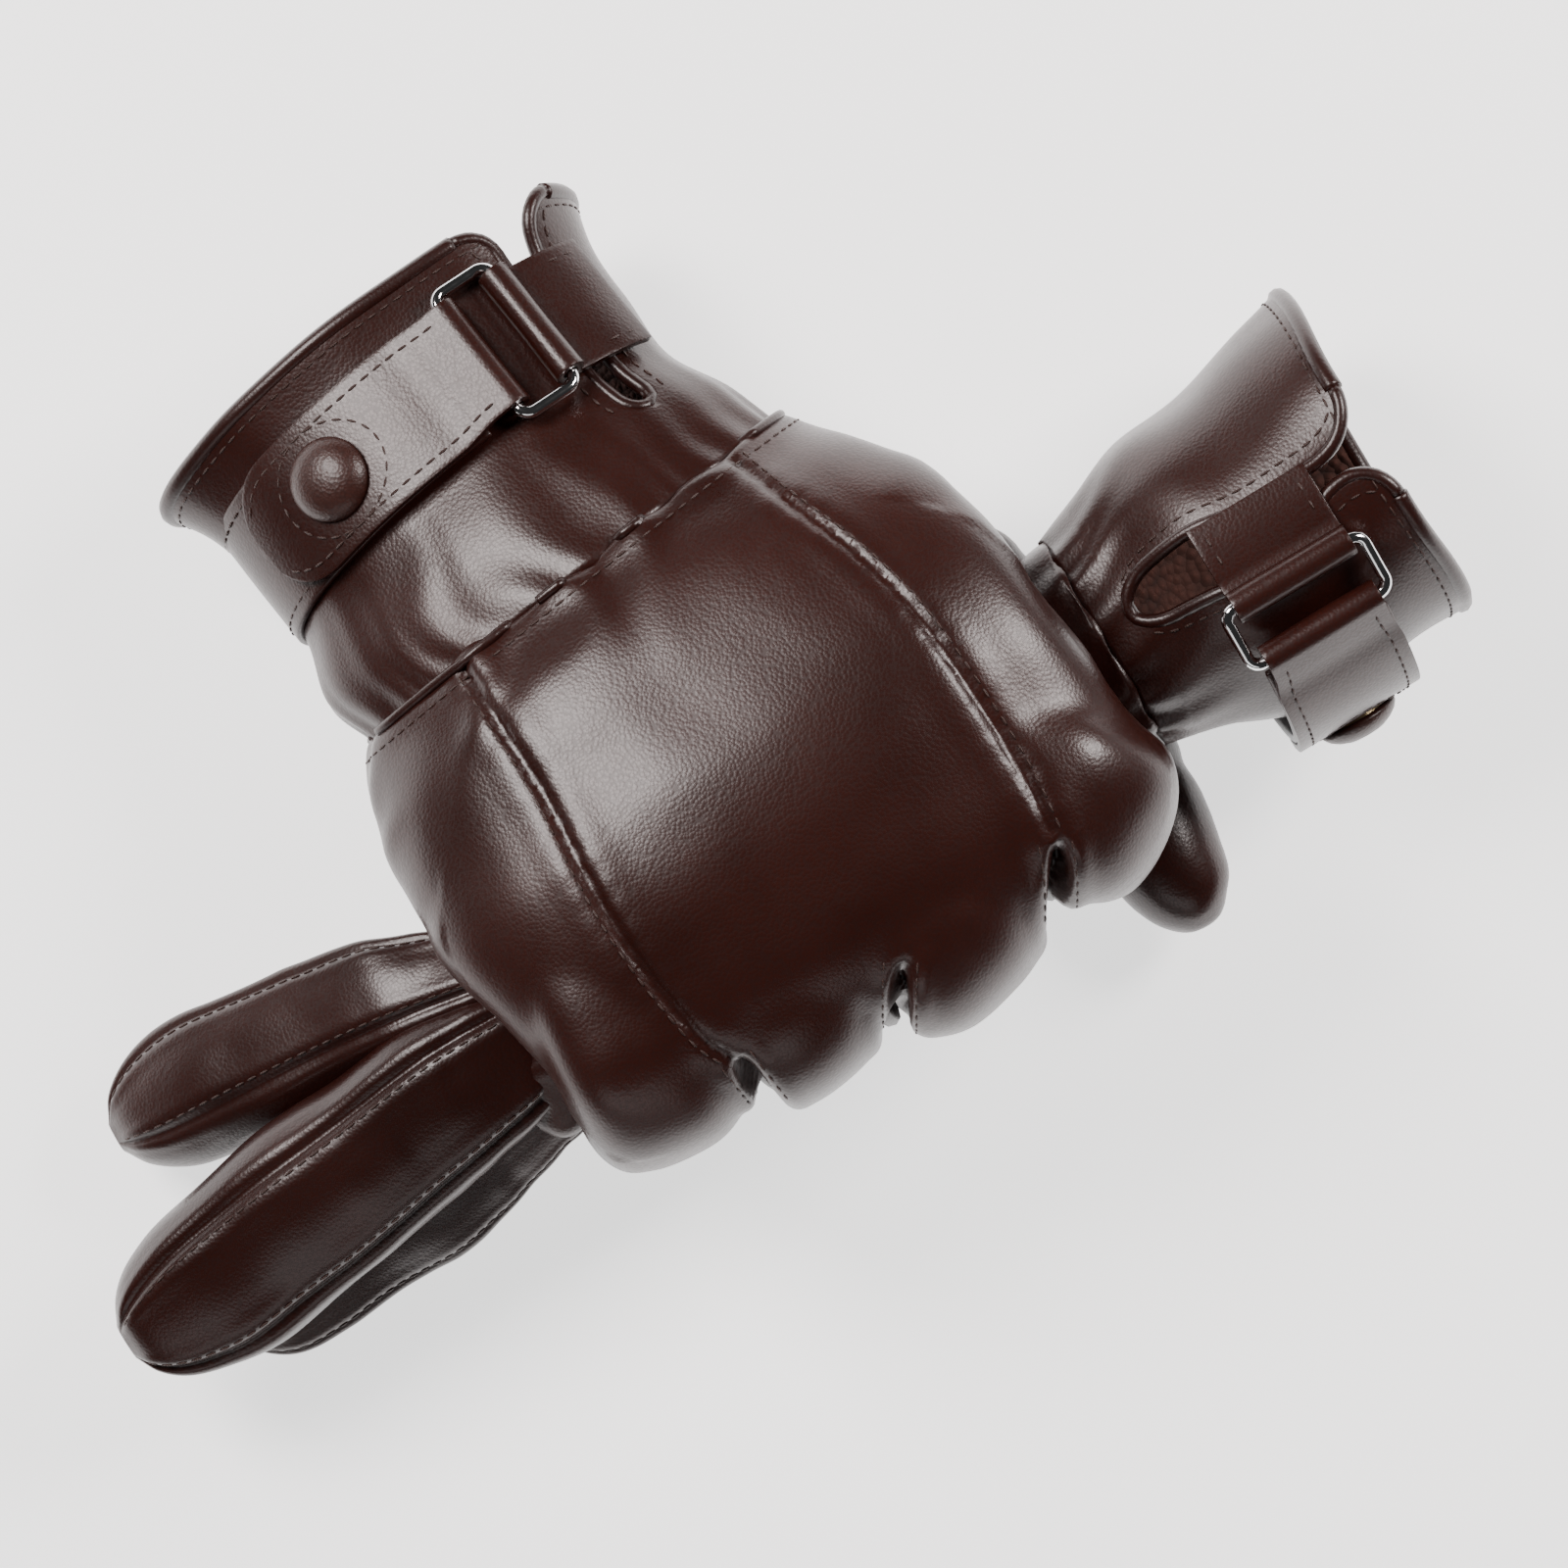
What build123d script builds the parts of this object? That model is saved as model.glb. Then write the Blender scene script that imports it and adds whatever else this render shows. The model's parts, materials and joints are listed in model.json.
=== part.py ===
from build123d import *
from math import asin, atan2, cos, degrees, radians, sin
import os

# A pair of leather touchscreen gloves. The right glove is closed in a fist and holds the left
# glove, which runs through the fist from its cuff at +X to its fingertips at -X.
# +X runs from the right glove's little finger to its index finger, +Y from its knuckles to its
# cuff, +Z up. The gloves rest on z = 0 on the curled fingers of the right glove.

# Driving dimensions, in millimetres
leather = 1.3               # one layer of glove leather
plush = 2.2                 # lining pile
elastic = 0.9               # wrist elastic
gap = 0.3                   # clearance between layers that are not sewn together
binding_proud = 0.5         # how far a bound edge stands out of the wall
binding_width = 2.4
hem_width = 3.0

strap_width = 22.4
strap_thick = 1.3
wire = 1.0                  # radius of the ring's wire
ring_long = 27.0            # outside length, across the strap
ring_short = 12.4           # outside length, along the strap
cap_radius = 6.9            # snap cap
cap_height = 3.2
stud_radius = 2.4
socket_radius = 5.0

right_wrist = Vector(8, 27, 41)         # centre of the right glove's wrist seam
held_middle = Vector(10.7, -29, 34)     # middle of the left glove, inside the fist
held_turn = 7.3                         # how far the left glove is turned from -X, in degrees
home = Pos(0.8, -3.9, 0)                # puts the origin under the middle of the pair

os.makedirs("parts", exist_ok=True)


def write(name, *solids):
    shape = solids[0] if len(solids) == 1 else Compound(children=list(solids))
    export_step(home * shape, f"parts/{name}.step")


def one(shape):
    # The largest solid of a cut, without the crumbs a cut may leave.
    return max(shape.solids(), key=lambda s: s.volume)


def tube(sections, inward=0.0):
    # A smooth solid through ellipses given as (plane, half width, half height).
    return loft([plane * Ellipse(a - inward, b - inward) for plane, a, b in sections])


def wall(sections, outer, inner):
    return tube(sections, outer) - tube(sections, inner)


def slab(plane, low, high, size=160.0):
    # Everything between two heights of a plane.
    return plane * Pos(0, 0, (low + high) / 2) * Box(size, size, high - low)


def sector(plane, start, end, low, high, reach=90.0):
    # A wedge round the plane's axis from angle start to angle end, at most 180 degrees.
    middle = (start + end) / 2
    rim = [(reach * cos(radians(t)), reach * sin(radians(t))) for t in (start, middle, end)]
    wide = [(2 * rim[1][0], 2 * rim[1][1])] if end - start > 90 else [rim[1]]
    outline = Polyline((0, 0), rim[0], *wide, rim[2], (0, 0))
    return plane * Pos(0, 0, low) * extrude(make_face(outline), high - low)


# The cuffs. A station is (distance towards the mouth, half width, half height) from the strap.

class Cuff:
    def __init__(self, plane, mouthward, wrist, stations, ellipse, vent, vent_end, vent_width):
        self.plane = plane
        self.mouthward = mouthward      # 1 where the plane's normal points out of the mouth
        self.ellipse = ellipse          # half axes under the strap
        self.vent = vent                # angle of the vent round the cuff
        self.vent_end = vent_end        # where the vent ends, measured towards the hand
        self.vent_width = vent_width
        self.mouth = stations[-1][0]
        rings = [(plane * Pos(0, 0, mouthward * d), a, b) for d, a, b in stations]
        self.sections = [wrist] + [(as_plane(p), a, b) for p, a, b in rings]

    def point(self, angle, rise):
        a, b = self.ellipse
        normal = Vector(b * cos(radians(angle)), a * sin(radians(angle))).normalized()
        return Vector(a * cos(radians(angle)), b * sin(radians(angle))) + normal * rise, normal

    def slot(self, width, end):
        # The vent: a slot with a round end, from beyond the mouth to end.
        (spot, normal) = self.point(self.vent, 0)
        turn = degrees(atan2(normal.Y, normal.X))
        reach = self.mouth + 12
        flat = Pos(0, (reach - end) / 2) * Rectangle(width, reach + end)
        round_end = Pos(0, -end) * Circle(width / 2)
        # The slot's plane lies on the cuff, its y axis towards the mouth.
        across = (-normal.Y * self.mouthward, normal.X * self.mouthward, 0)
        side = Plane(origin=(spot.X, spot.Y, 0), x_dir=across, z_dir=(normal.X, normal.Y, 0))
        cutter = extrude(side * (flat + round_end), 14, both=True)
        return self.plane * cutter


def as_plane(location):
    return location if isinstance(location, Plane) else Plane(location)


def cuff_parts(side, cuff, seam_angle, elastic_sector):
    slot = cuff.slot(cuff.vent_width, cuff.vent_end)
    wide_slot = cuff.slot(cuff.vent_width + 2 * binding_width, cuff.vent_end)
    m = cuff.mouthward
    ends = sorted((m * (cuff.mouth - hem_width), m * (cuff.mouth + 20)))
    hem_slab = slab(cuff.plane, *ends)
    back = sector(cuff.plane, cuff.vent, seam_angle, -90, 90)
    leather_wall = wall(cuff.sections, 0, leather) - hem_slab - wide_slot
    write(f"{side}_cuff_back", one(leather_wall & back))
    write(f"{side}_cuff_palm", one(leather_wall - back))

    low, high = sorted((-m * (cuff.vent_end + 4), -m * (cuff.vent_end + 12)))
    band = wall(cuff.sections, leather, leather + elastic)
    band = one(band & sector(cuff.plane, *elastic_sector, low, high))
    write(f"{side}_wrist_elastic", band)
    lining = wall(cuff.sections, leather, leather + plush) - hem_slab - wide_slot - band
    write(f"{side}_cuff_lining", one(lining))

    thick = wall(cuff.sections, -binding_proud, leather + plush + binding_proud)
    write(f"{side}_hem_binding", one((thick & hem_slab) - wide_slot))
    write(f"{side}_vent_binding", one(thick & (wide_slot - slot)))


# The strap: a base sewn to the cuff, a ring in a tab, and a tongue that goes through the ring,
# folds back over the base and is held by a snap.

def strap_parts(side, cuff, ring_angle, snap_angle, tongue_end, base_end, tab_end):
    a, b = cuff.ellipse
    half = strap_width / 2
    bar_rise = gap + strap_thick + gap + wire
    centre, up = cuff.point(ring_angle, bar_rise)
    along = Vector(-up.Y, up.X)                 # towards the tongue's end
    reach = ring_short / 2 - wire
    tongue_bar = centre + along * reach
    tab_bar = centre - along * reach
    fold_inner = wire + gap + 0.05
    fold_outer = fold_inner + strap_thick

    def band(rise, start, end):
        # A layer of the strap round the cuff, from angle start to angle end.
        outer = Ellipse(a + rise + strap_thick, b + rise + strap_thick)
        layer = extrude(outer - Ellipse(a + rise, b + rise), half, both=True)
        keep = sector(Plane.XY, start, min(end, start + 120), -half, half)
        if end > start + 120:
            keep = keep + sector(Plane.XY, start + 120, end, -half, half)
        return layer & keep

    def disc(spot, radius, length):
        return Pos(spot.X, spot.Y, 0) * Cylinder(radius, length)

    def fold(spot, start, end):
        # The turn of a strap round a bar of the ring.
        ring = disc(spot, fold_outer, strap_width) - disc(spot, fold_inner, strap_width)
        wedge = sector(Plane.XY, start, end, -half, half, reach=20)
        return ring & (Pos(spot.X, spot.Y, 0) * wedge)

    turn = degrees(atan2(up.Y, up.X))
    tongue_rise = gap + strap_thick + gap
    fold_rise = bar_rise + fold_inner - 0.1

    # Tongue: the fold round the ring's bar, a ramp down from it, and the layer over the base.
    ramp_angle = ring_angle + 15
    ramp_low, ramp_up = cuff.point(ramp_angle + 2, tongue_rise)
    ramp_high = tongue_bar + up * fold_inner
    ramp = Polyline(
        (ramp_high.X, ramp_high.Y),
        ((ramp_high + up * strap_thick).X, (ramp_high + up * strap_thick).Y),
        ((ramp_low + ramp_up * strap_thick).X, (ramp_low + ramp_up * strap_thick).Y),
        (ramp_low.X, ramp_low.Y),
        close=True,
    )
    ramp = extrude(make_face(ramp), half, both=True)
    layer = band(tongue_rise, ramp_angle, tongue_end)
    # Round the tongue's free end.
    snap_spot, snap_up = cuff.point(snap_angle, 0)
    snap_plane = Plane(origin=(snap_spot.X, snap_spot.Y, 0), x_dir=(0, 0, 1),
                       z_dir=(snap_up.X, snap_up.Y, 0))
    end_cut = snap_plane * (
        Pos(0, 0, 3) * (
            Box(60, 60, 24) - Cylinder(half, 24)
            - Pos(0, -30 if snap_plane.y_dir.dot(along) > 0 else 30, 0) * Box(60, 60, 24)
        )
    )
    tongue = layer - end_cut + ramp + fold(tongue_bar, turn - 180, turn - 90) \
        + fold(tongue_bar, turn - 90, turn)
    hole = snap_plane * Pos(0, 0, tongue_rise) * Cylinder(socket_radius + 0.02, 12)
    tongue = one(tongue - hole - disc(tongue_bar, fold_inner, strap_width + 2))
    write(f"{side}_strap_tongue", cuff.plane * tongue)

    # Base: the layer on the cuff, clear of the fold as the tongue turns round the bar.
    base = band(gap, ring_angle + 4, base_end) - disc(tongue_bar, fold_outer + gap, strap_width + 2)
    stud_hole = snap_plane * Pos(0, 0, gap) * Cylinder(stud_radius - 0.8, 12)
    write(f"{side}_strap_base", cuff.plane * one(base - stud_hole))

    # Tab: the loop round the ring's other bar, sewn to the cuff's flap.
    tab_layer = band(gap, tab_end, ring_angle - 9)
    tab = one(
        (tab_layer - disc(tab_bar, fold_outer - 0.2, strap_width + 2))
        + fold(tab_bar, turn - 180, turn - 90) + fold(tab_bar, turn - 270, turn - 180)
        + fold(tab_bar, turn, turn + 90) + fold(tab_bar, turn - 90, turn)
    )
    write(f"{side}_ring_tab", cuff.plane * tab)

    # Ring: round wire bent to a rectangle with round corners.
    ring_plane = Plane(origin=(centre.X, centre.Y, 0), x_dir=(along.X, along.Y, 0),
                       z_dir=(up.X, up.Y, 0))
    path = RectangleRounded(ring_short - 2 * wire, ring_long - 2 * wire, 2.0).wire()
    start = Plane(origin=path @ 0, z_dir=path % 0)
    ring = sweep(start * Circle(wire), path=path)
    write(f"{side}_strap_ring", cuff.plane * ring_plane * ring)

    # Snap: a cap over the tongue, its socket in the tongue, and a stud on the base.
    top = tongue_rise + strap_thick
    dome_radius = (cap_radius ** 2 + cap_height ** 2) / (2 * cap_height)
    dome = Pos(0, 0, cap_height - dome_radius) * Sphere(dome_radius)
    cap = (Pos(0, 0, cap_height / 2) * Cylinder(cap_radius, cap_height)) & dome
    cap = Pos(0, 0, top + 1.1) * cap + Pos(0, 0, top + 0.85) * Cylinder(cap_radius - 0.3, 0.6)
    write(f"{side}_snap_cap", cuff.plane * snap_plane * one(cap))
    socket = Pos(0, 0, top - 0.2) * Cylinder(socket_radius, 1.5)
    socket = socket - Pos(0, 0, top - 0.75) * Cylinder(stud_radius + 0.9, 1.0)
    write(f"{side}_snap_socket", cuff.plane * snap_plane * one(socket))
    stud = Pos(0, 0, gap + strap_thick + 0.45) * Cylinder(stud_radius, 0.9)
    stud = stud + Pos(0, 0, gap + strap_thick / 2) * Cylinder(stud_radius - 0.8, strap_thick)
    write(f"{side}_snap_stud", cuff.plane * snap_plane * one(stud))
    return ring_plane, tongue_bar, tab_bar, snap_plane


# Fingers

def finger_tube(stations, inward=0.0, tip=None):
    # A smooth tube through (place, direction, (half width, half height)), with a round tip.
    rings = []
    for place, heading, (a, b) in stations:
        level = Vector(0, 0, 1).cross(heading).normalized()
        plane = Plane(origin=place, x_dir=level, z_dir=heading)
        rings.append((plane, max(a - inward, 0.8), max(b - inward, 0.8)))
    body = loft([plane * Ellipse(a, b) for plane, a, b in rings])
    plane, a, b = rings[-1]
    ahead = (tip or a + inward) - inward
    return body + plane * scale(Sphere(1), by=(a, b, ahead))


def curled_finger(plane, drop, bend, reach, radii, inward=0.0):
    # Down from the knuckle, round a quarter bend, and back under the held glove.
    # The plane stands at the knuckle, its x axis towards the fingertip.
    at_knuckle, at_bend, at_tip = (r - inward for r in radii)
    leg = Pos(0, 0, -drop / 2) * Cone(at_bend, at_knuckle, drop)
    turn_axis = Axis((bend, 0, -drop), (0, -1, 0))
    turn = revolve(Pos(0, 0, -drop) * Circle(at_bend), turn_axis, 90)
    foot = Plane(origin=(bend, 0, -drop - bend), x_dir=(0, 1, 0), z_dir=(1, 0, 0))
    end = foot * Pos(0, 0, reach / 2) * Cone(at_bend, at_tip, reach)
    tip = foot * Pos(0, 0, reach) * Sphere(at_tip)
    return plane * (Sphere(at_knuckle) + leg + turn + end + tip)


# ---- The right glove, closed in a fist ----

cuff_tilt = 15.0
right_strap = Vector(6.5, 57, 28.9)
hand_plane = Plane(origin=right_wrist, x_dir=(1, 0, 0), z_dir=(0, -1, 0))
right_cuff = Cuff(
    plane=Plane(origin=right_strap, x_dir=(1, 0, 0),
                z_dir=(0, -cos(radians(cuff_tilt)), sin(radians(cuff_tilt)))),
    mouthward=-1,
    wrist=(hand_plane, 41, 22),
    stations=[(-14, 37.5, 21.5), (13, 37.5, 21.5), (22.5, 40.5, 23)],
    ellipse=(37.5, 21.5),
    vent=40, vent_end=17, vent_width=7,
)
cuff_parts("right", right_cuff, seam_angle=185, elastic_sector=(230, 310))
right_ring = strap_parts("right", right_cuff, ring_angle=64.7, snap_angle=118,
                         tongue_end=150, base_end=215, tab_end=24)

# Hand sections: (y, x, z, half width, half height)
palm_sections = [
    (27, 8, 41, 41, 22),
    (9, 8.5, 50, 47.5, 23),
    (-11, 10, 62.5, 52, 15.5),
    (-33, 11, 63.5, 52, 16),
    (-55, 12, 60, 47, 13),
]
palm_rings = [
    (Plane(origin=(x, y, z), x_dir=(1, 0, 0), z_dir=(0, -1, 0)), a, b)
    for y, x, z, a, b in palm_sections
]
hand_outer = tube(palm_rings)
hand_end = slab(Plane.XZ, 55 - 2 * leather, 80)        # Plane.XZ faces -Y
pocket_leather = tube(palm_rings, leather) - hand_end
pocket_plush = tube(palm_rings, leather + plush) - slab(Plane.XZ, 55 - 2 * leather - plush, 80)
hand_leather = hand_outer - pocket_leather
write("right_hand_lining", one(pocket_leather - pocket_plush))

# The panels are cut along the side of the hand and along the two seams on its back.
back_seam_little = -16.0        # x of the seam that leads to the little finger
back_seam_index = 43.0          # x of the seam that leads to the index finger
side_line = [(y, z) for y, _, z, _, _ in palm_sections]
outline = Polyline(
    (side_line[0][0] + 5, side_line[0][1]), *side_line[1:-1],
    (side_line[-1][0] - 5, side_line[-1][1]),
    (side_line[-1][0] - 5, 120), (side_line[0][0] + 5, 120), close=True,
)
upper = extrude(Plane.YZ * make_face(outline), 100, both=True)
upper_half = hand_leather & upper
write("right_palm_panel", one(hand_leather - upper))
middle_x = (back_seam_little + back_seam_index) / 2
centre_box = Pos(middle_x, 0, 60) * Box(back_seam_index - back_seam_little, 200, 120)
little_box = Pos(back_seam_little - 60, 0, 60) * Box(120, 200, 120)
index_box = Pos(back_seam_index + 60, 0, 60) * Box(120, 200, 120)
write("right_back_panel", one(upper_half & centre_box))
write("right_little_side_panel", one(upper_half & little_box))
write("right_index_side_panel", one(upper_half & index_box))

# Fingers: name, x and y of the knuckle, x of the fingertip
right_fingers = [
    ("little", -30.0, -44.0, -24.5, 20.0),
    ("ring", -3.5, -50.0, -5.5, 20.0),
    ("middle", 23.0, -54.0, 13.5, 23.0),
    ("index", 49.5, -51.0, 32.5, 20.5),
]
knuckle_height = 60.0
bend_radius = 14.0
finger_floor = 10.0             # height of the curled part's middle
finger_radii = (12.9, 10.3, 9.2)
side_offset = 7.0               # the fourchettes start this far out from a finger's middle
side_share = 0.74               # the same on the left glove, as a share of the half width
floor_cut = Pos(0, 0, -20) * Box(400, 400, 40)
cores, gussets = [], []
# The fingers made larger: by a gap, to press into leather, and by a gap and the leather,
# to press into what fills it.
grips, deep_grips = [], []
for name, x, y, end_x, reach in right_fingers:
    drop = knuckle_height - bend_radius - finger_floor
    away = Vector(end_x - x, bend_radius + reach, 0).normalized()
    knuckle = Plane(origin=(x, y, knuckle_height), x_dir=away, z_dir=(0, 0, 1))
    outer = curled_finger(knuckle, drop, bend_radius, reach, finger_radii)
    inner = curled_finger(knuckle, drop, bend_radius, reach, finger_radii, leather)
    cores.append(one(inner - hand_outer))
    grips.append(curled_finger(knuckle, drop, bend_radius, reach, finger_radii, -gap))
    deep_grips.append(
        curled_finger(knuckle, drop, bend_radius, reach, finger_radii, -gap - leather)
    )
    shell = outer - hand_outer - inner - floor_cut
    # The knuckle plane's y axis points to -X, towards the little finger.
    sides = [sign for sign, last in ((1, "little"), (-1, "index")) if name != last]
    for sign in sides:
        strip = knuckle * (Pos(0, sign * (side_offset + 10), -30) * Box(160, 20, 120))
        gussets.append(one(shell & strip))
        shell = shell - strip
    shell = one(shell)
    if name == "index":
        tip_box = Pos(0, y + bend_radius + reach - 6 + 50, 0) * Box(400, 100, 60)
        write("right_index_touch_tip", one(shell & tip_box))
        shell = one(shell - tip_box)
    write(f"right_{name}_finger", shell)
write("right_fourchettes", *gussets)

# Thumb: from the side of the palm, under the held glove, past the knuckles
thumb_line = [
    ((44, 17, 34), (13.5, 12.0)),
    ((52, 3, 20), (13.0, 11.0)),
    ((56.5, -16, 12.0), (11.0, 10.0)),
    ((57.5, -38, 10.9), (10.8, 10.0)),
    ((53.5, -67, 11.5), (10.0, 9.8)),
]


def headed(line):
    # Adds to each point the direction from the point before it to the one after.
    made = []
    for k, (place, size) in enumerate(line):
        before, after = line[max(k - 1, 0)][0], line[min(k + 1, len(line) - 1)][0]
        made.append((Vector(*place), (Vector(*after) - Vector(*before)).normalized(), size))
    return made


thumb_stations = headed(thumb_line)
thumb_outer = finger_tube(thumb_stations)
thumb_inner = finger_tube(thumb_stations, leather)
for grip, deep_grip in zip(grips[2:], deep_grips[2:]):
    thumb_outer = thumb_outer - grip
    thumb_inner = thumb_inner - deep_grip
thumb_core = one(thumb_inner - hand_outer)
thumb = thumb_outer - hand_outer - thumb_inner - floor_cut
thumb_tip_box = Pos(0, -62 - 50, 0) * Box(400, 100, 80)
write("right_thumb_touch_tip", one(thumb & thumb_tip_box))
write("right_thumb", one(thumb - thumb_tip_box))
write("right_finger_lining", *cores, thumb_core)

# ---- The left glove, held in the fist ----

turned = radians(held_turn)
cuffward = Vector(cos(turned), -sin(turned), 0)         # from the fingers to the cuff
upside = Vector(sin(turned), cos(turned), 0)            # level, towards the right glove's cuff


def held(along, across, height):
    # A point of the left glove: along it from the fist, across it, and above the floor.
    return held_middle + cuffward * along + upside * across + Vector(0, 0, height - held_middle.Z)


def held_plane(along, across, height):
    return Plane(origin=held(along, across, height), x_dir=upside, z_dir=cuffward)


left_cuff = Cuff(
    plane=held_plane(87, 2.6, 31),
    mouthward=1,
    wrist=(held_plane(58, 2.5, 33.5), 19, 17),
    stations=[(-13, 27.3, 28.5), (13, 27.5, 29), (22, 28.5, 30.3)],
    ellipse=(28.2, 29.8),
    vent=84, vent_end=16, vent_width=11,
)
cuff_parts("left", left_cuff, seam_angle=200, elastic_sector=(240, 300))
left_ring = strap_parts("left", left_cuff, ring_angle=110, snap_angle=188,
                        tongue_end=211, base_end=260, tab_end=74)

# Hand of the left glove, squeezed flat where the fist holds it
squeezed = [
    (held_plane(58, 2.5, 33.5), 19, 17),
    (held_plane(48, 6.5, 34), 13, 12),
    (held_plane(24, 7, 34), 11.8, 11.4),
    (held_plane(-18, 7, 34), 11.8, 11.4),
    (held_plane(-42, 5, 34), 12.2, 11.4),
    (held_plane(-54, 1, 34), 17.5, 11.8),
]
held_outer = tube(squeezed)
held_core = tube(squeezed, leather)
for grip, deep_grip in zip(grips, deep_grips):
    held_outer = held_outer - grip
    held_core = held_core - deep_grip
held_leather = held_outer - held_core
split = held_plane(0, 0, 34) * Pos(50, 0, 0) * Box(100, 100, 200)
write("left_palm_panel", one(held_leather & split))
write("left_back_panel", one(held_leather - split))
write("left_hand_lining", one(held_core))

# Fingers of the left glove: (along, across, height), half width, half height
left_fingers = {
    "middle": [
        ((-54.2, 12.5, 37), (6.5, 7.0)), ((-66, 14.0, 33), (8.5, 8.0)),
        ((-84, 17, 24), (11.0, 9.0)), ((-100, 20, 15.5), (12.0, 9.5)),
        ((-110, 21, 12.5), (11.0, 9.0)),
    ],
    "index": [
        ((-54.2, -4, 38), (8.5, 6.0)), ((-68, -5, 37), (11.5, 7.5)),
        ((-88, -6.5, 32), (14.3, 8.8)), ((-108, -8, 27.5), (14.8, 9.2)),
        ((-122, -9, 26), (13.0, 8.8)),
    ],
    "ring": [
        ((-54.2, -15.5, 32), (4.5, 5.5)), ((-70, -19.5, 24), (8.4, 7.5)),
        ((-90, -23, 14.0), (10.0, 8.0)), ((-108, -24.5, 9.2), (9.8, 8.0)),
    ],
    "little": [
        ((-54.2, -1, 27.3), (6.5, 3.2)), ((-66, -2, 21), (8.5, 5.5)),
        ((-78, -2.5, 14.5), (9.5, 6.5)), ((-86, -2.5, 11), (9.0, 6.8)),
    ],
}
root_cut = held_plane(-54 + 60, 0, 34) * Box(200, 200, 120.2)
cores, gussets = [], []
for name, line in left_fingers.items():
    placed = [(tuple(held(*place)), size) for place, size in line]
    stations = headed(placed)
    outer = finger_tube(stations)
    inner = finger_tube(stations, leather)
    cores.append(one(inner - root_cut))
    shell = one(outer - inner - root_cut)
    # The gusset is the side that faces the next finger.
    width = line[2][1][0] * side_share
    middle = line[2][0]
    sign = {"middle": -1, "index": 1, "ring": 1, "little": 1}[name]
    spot = Plane(origin=held(middle[0], middle[1] + sign * (width + 10), 20),
                 x_dir=upside, z_dir=cuffward)
    strip = spot * Box(20, 80, 120)
    gussets.append(one(shell & strip))
    shell = one(shell - strip)
    if name == "index":
        tip = held_plane(-118 - 50, 0, 30) * Box(120, 120, 100)
        write("left_index_touch_tip", one(shell & tip))
        shell = one(shell - tip)
    write(f"left_{name}_finger", shell)
write("left_fourchettes", *gussets)

# Thumb of the left glove, tucked under the right palm
left_thumb_line = [
    ((12, 33, 15), (8.0, 8.5)),
    ((2, 34, 12), (10.0, 10.0)),
    ((-14, 34.5, 10.9), (10.6, 10.4)),
    ((-30, 34.5, 10.9), (10.0, 9.8)),
]
placed = [(tuple(held(*place)), size) for place, size in left_thumb_line]
stations = headed(placed)
thumb_outer = finger_tube(stations)
thumb_inner = finger_tube(stations, leather)
cores.append(one(thumb_inner))
thumb = thumb_outer - thumb_inner
tip = held_plane(-28 - 50, 0, 30) * Box(120, 120, 100)
write("left_thumb_touch_tip", one(thumb & tip))
write("left_thumb", one(thumb - tip))
write("left_finger_lining", *cores)
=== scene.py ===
import json
import math
import bpy
import bmesh
import numpy as np
from mathutils import Matrix, Vector, noise
from mathutils.bvhtree import BVHTree
from mathutils.kdtree import KDTree

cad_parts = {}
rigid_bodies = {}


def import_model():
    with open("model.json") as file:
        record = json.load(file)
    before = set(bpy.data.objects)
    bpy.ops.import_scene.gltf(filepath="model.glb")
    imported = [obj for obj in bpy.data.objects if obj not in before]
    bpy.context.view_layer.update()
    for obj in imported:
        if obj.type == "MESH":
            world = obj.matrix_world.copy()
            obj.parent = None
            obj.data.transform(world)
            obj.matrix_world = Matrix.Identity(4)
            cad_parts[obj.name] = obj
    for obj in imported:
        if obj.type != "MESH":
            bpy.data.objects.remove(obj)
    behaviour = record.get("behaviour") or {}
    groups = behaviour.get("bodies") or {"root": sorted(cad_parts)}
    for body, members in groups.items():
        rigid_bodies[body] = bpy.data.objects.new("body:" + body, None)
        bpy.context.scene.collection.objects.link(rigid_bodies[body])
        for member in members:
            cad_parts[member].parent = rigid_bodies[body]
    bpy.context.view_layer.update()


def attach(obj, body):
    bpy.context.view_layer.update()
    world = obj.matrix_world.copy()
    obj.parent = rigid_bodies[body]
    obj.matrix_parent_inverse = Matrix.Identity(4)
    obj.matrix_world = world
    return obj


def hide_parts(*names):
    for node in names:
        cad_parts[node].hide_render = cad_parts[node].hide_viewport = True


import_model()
mm = 0.001
up = (0, 0, 1)


class Wire:
    # one socket, so that maths on it reads as maths
    def __init__(self, mat, socket):
        self.mat, self.socket = mat, socket

    def maths(self, op, a, b):
        return node(self.mat, "ShaderNodeMath", {"operation": op}, {0: a, 1: b})

    def __add__(self, other): return self.maths("ADD", self, other)
    def __radd__(self, other): return self.maths("ADD", other, self)
    def __sub__(self, other): return self.maths("SUBTRACT", self, other)
    def __rsub__(self, other): return self.maths("SUBTRACT", other, self)
    def __mul__(self, other): return self.maths("MULTIPLY", self, other)
    def __rmul__(self, other): return self.maths("MULTIPLY", other, self)


def node(mat, kind, settings=None, inputs=None, out=0):
    made = mat.node_tree.nodes.new(kind)
    for key, value in (settings or {}).items():
        setattr(made, key, value)
    for key, value in (inputs or {}).items():
        socket = made.inputs[key]
        if isinstance(value, Wire):
            mat.node_tree.links.new(value.socket, socket)
        elif value is not None:
            colour = socket.type == "RGBA" and len(value) == 3
            socket.default_value = (*value, 1) if colour else value
    return Wire(mat, made.outputs[out]) if made.outputs else None


def ramp(mat, fac, low, high, lo=0.0, hi=1.0):
    return node(mat, "ShaderNodeMapRange", {}, {0: fac, 1: low, 2: high, 3: lo, 4: hi})


def mixColour(mat, fac, a, b):
    return node(mat, "ShaderNodeMix", {"data_type": "RGBA"}, {0: fac, 6: a, 7: b}, out=2)


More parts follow.
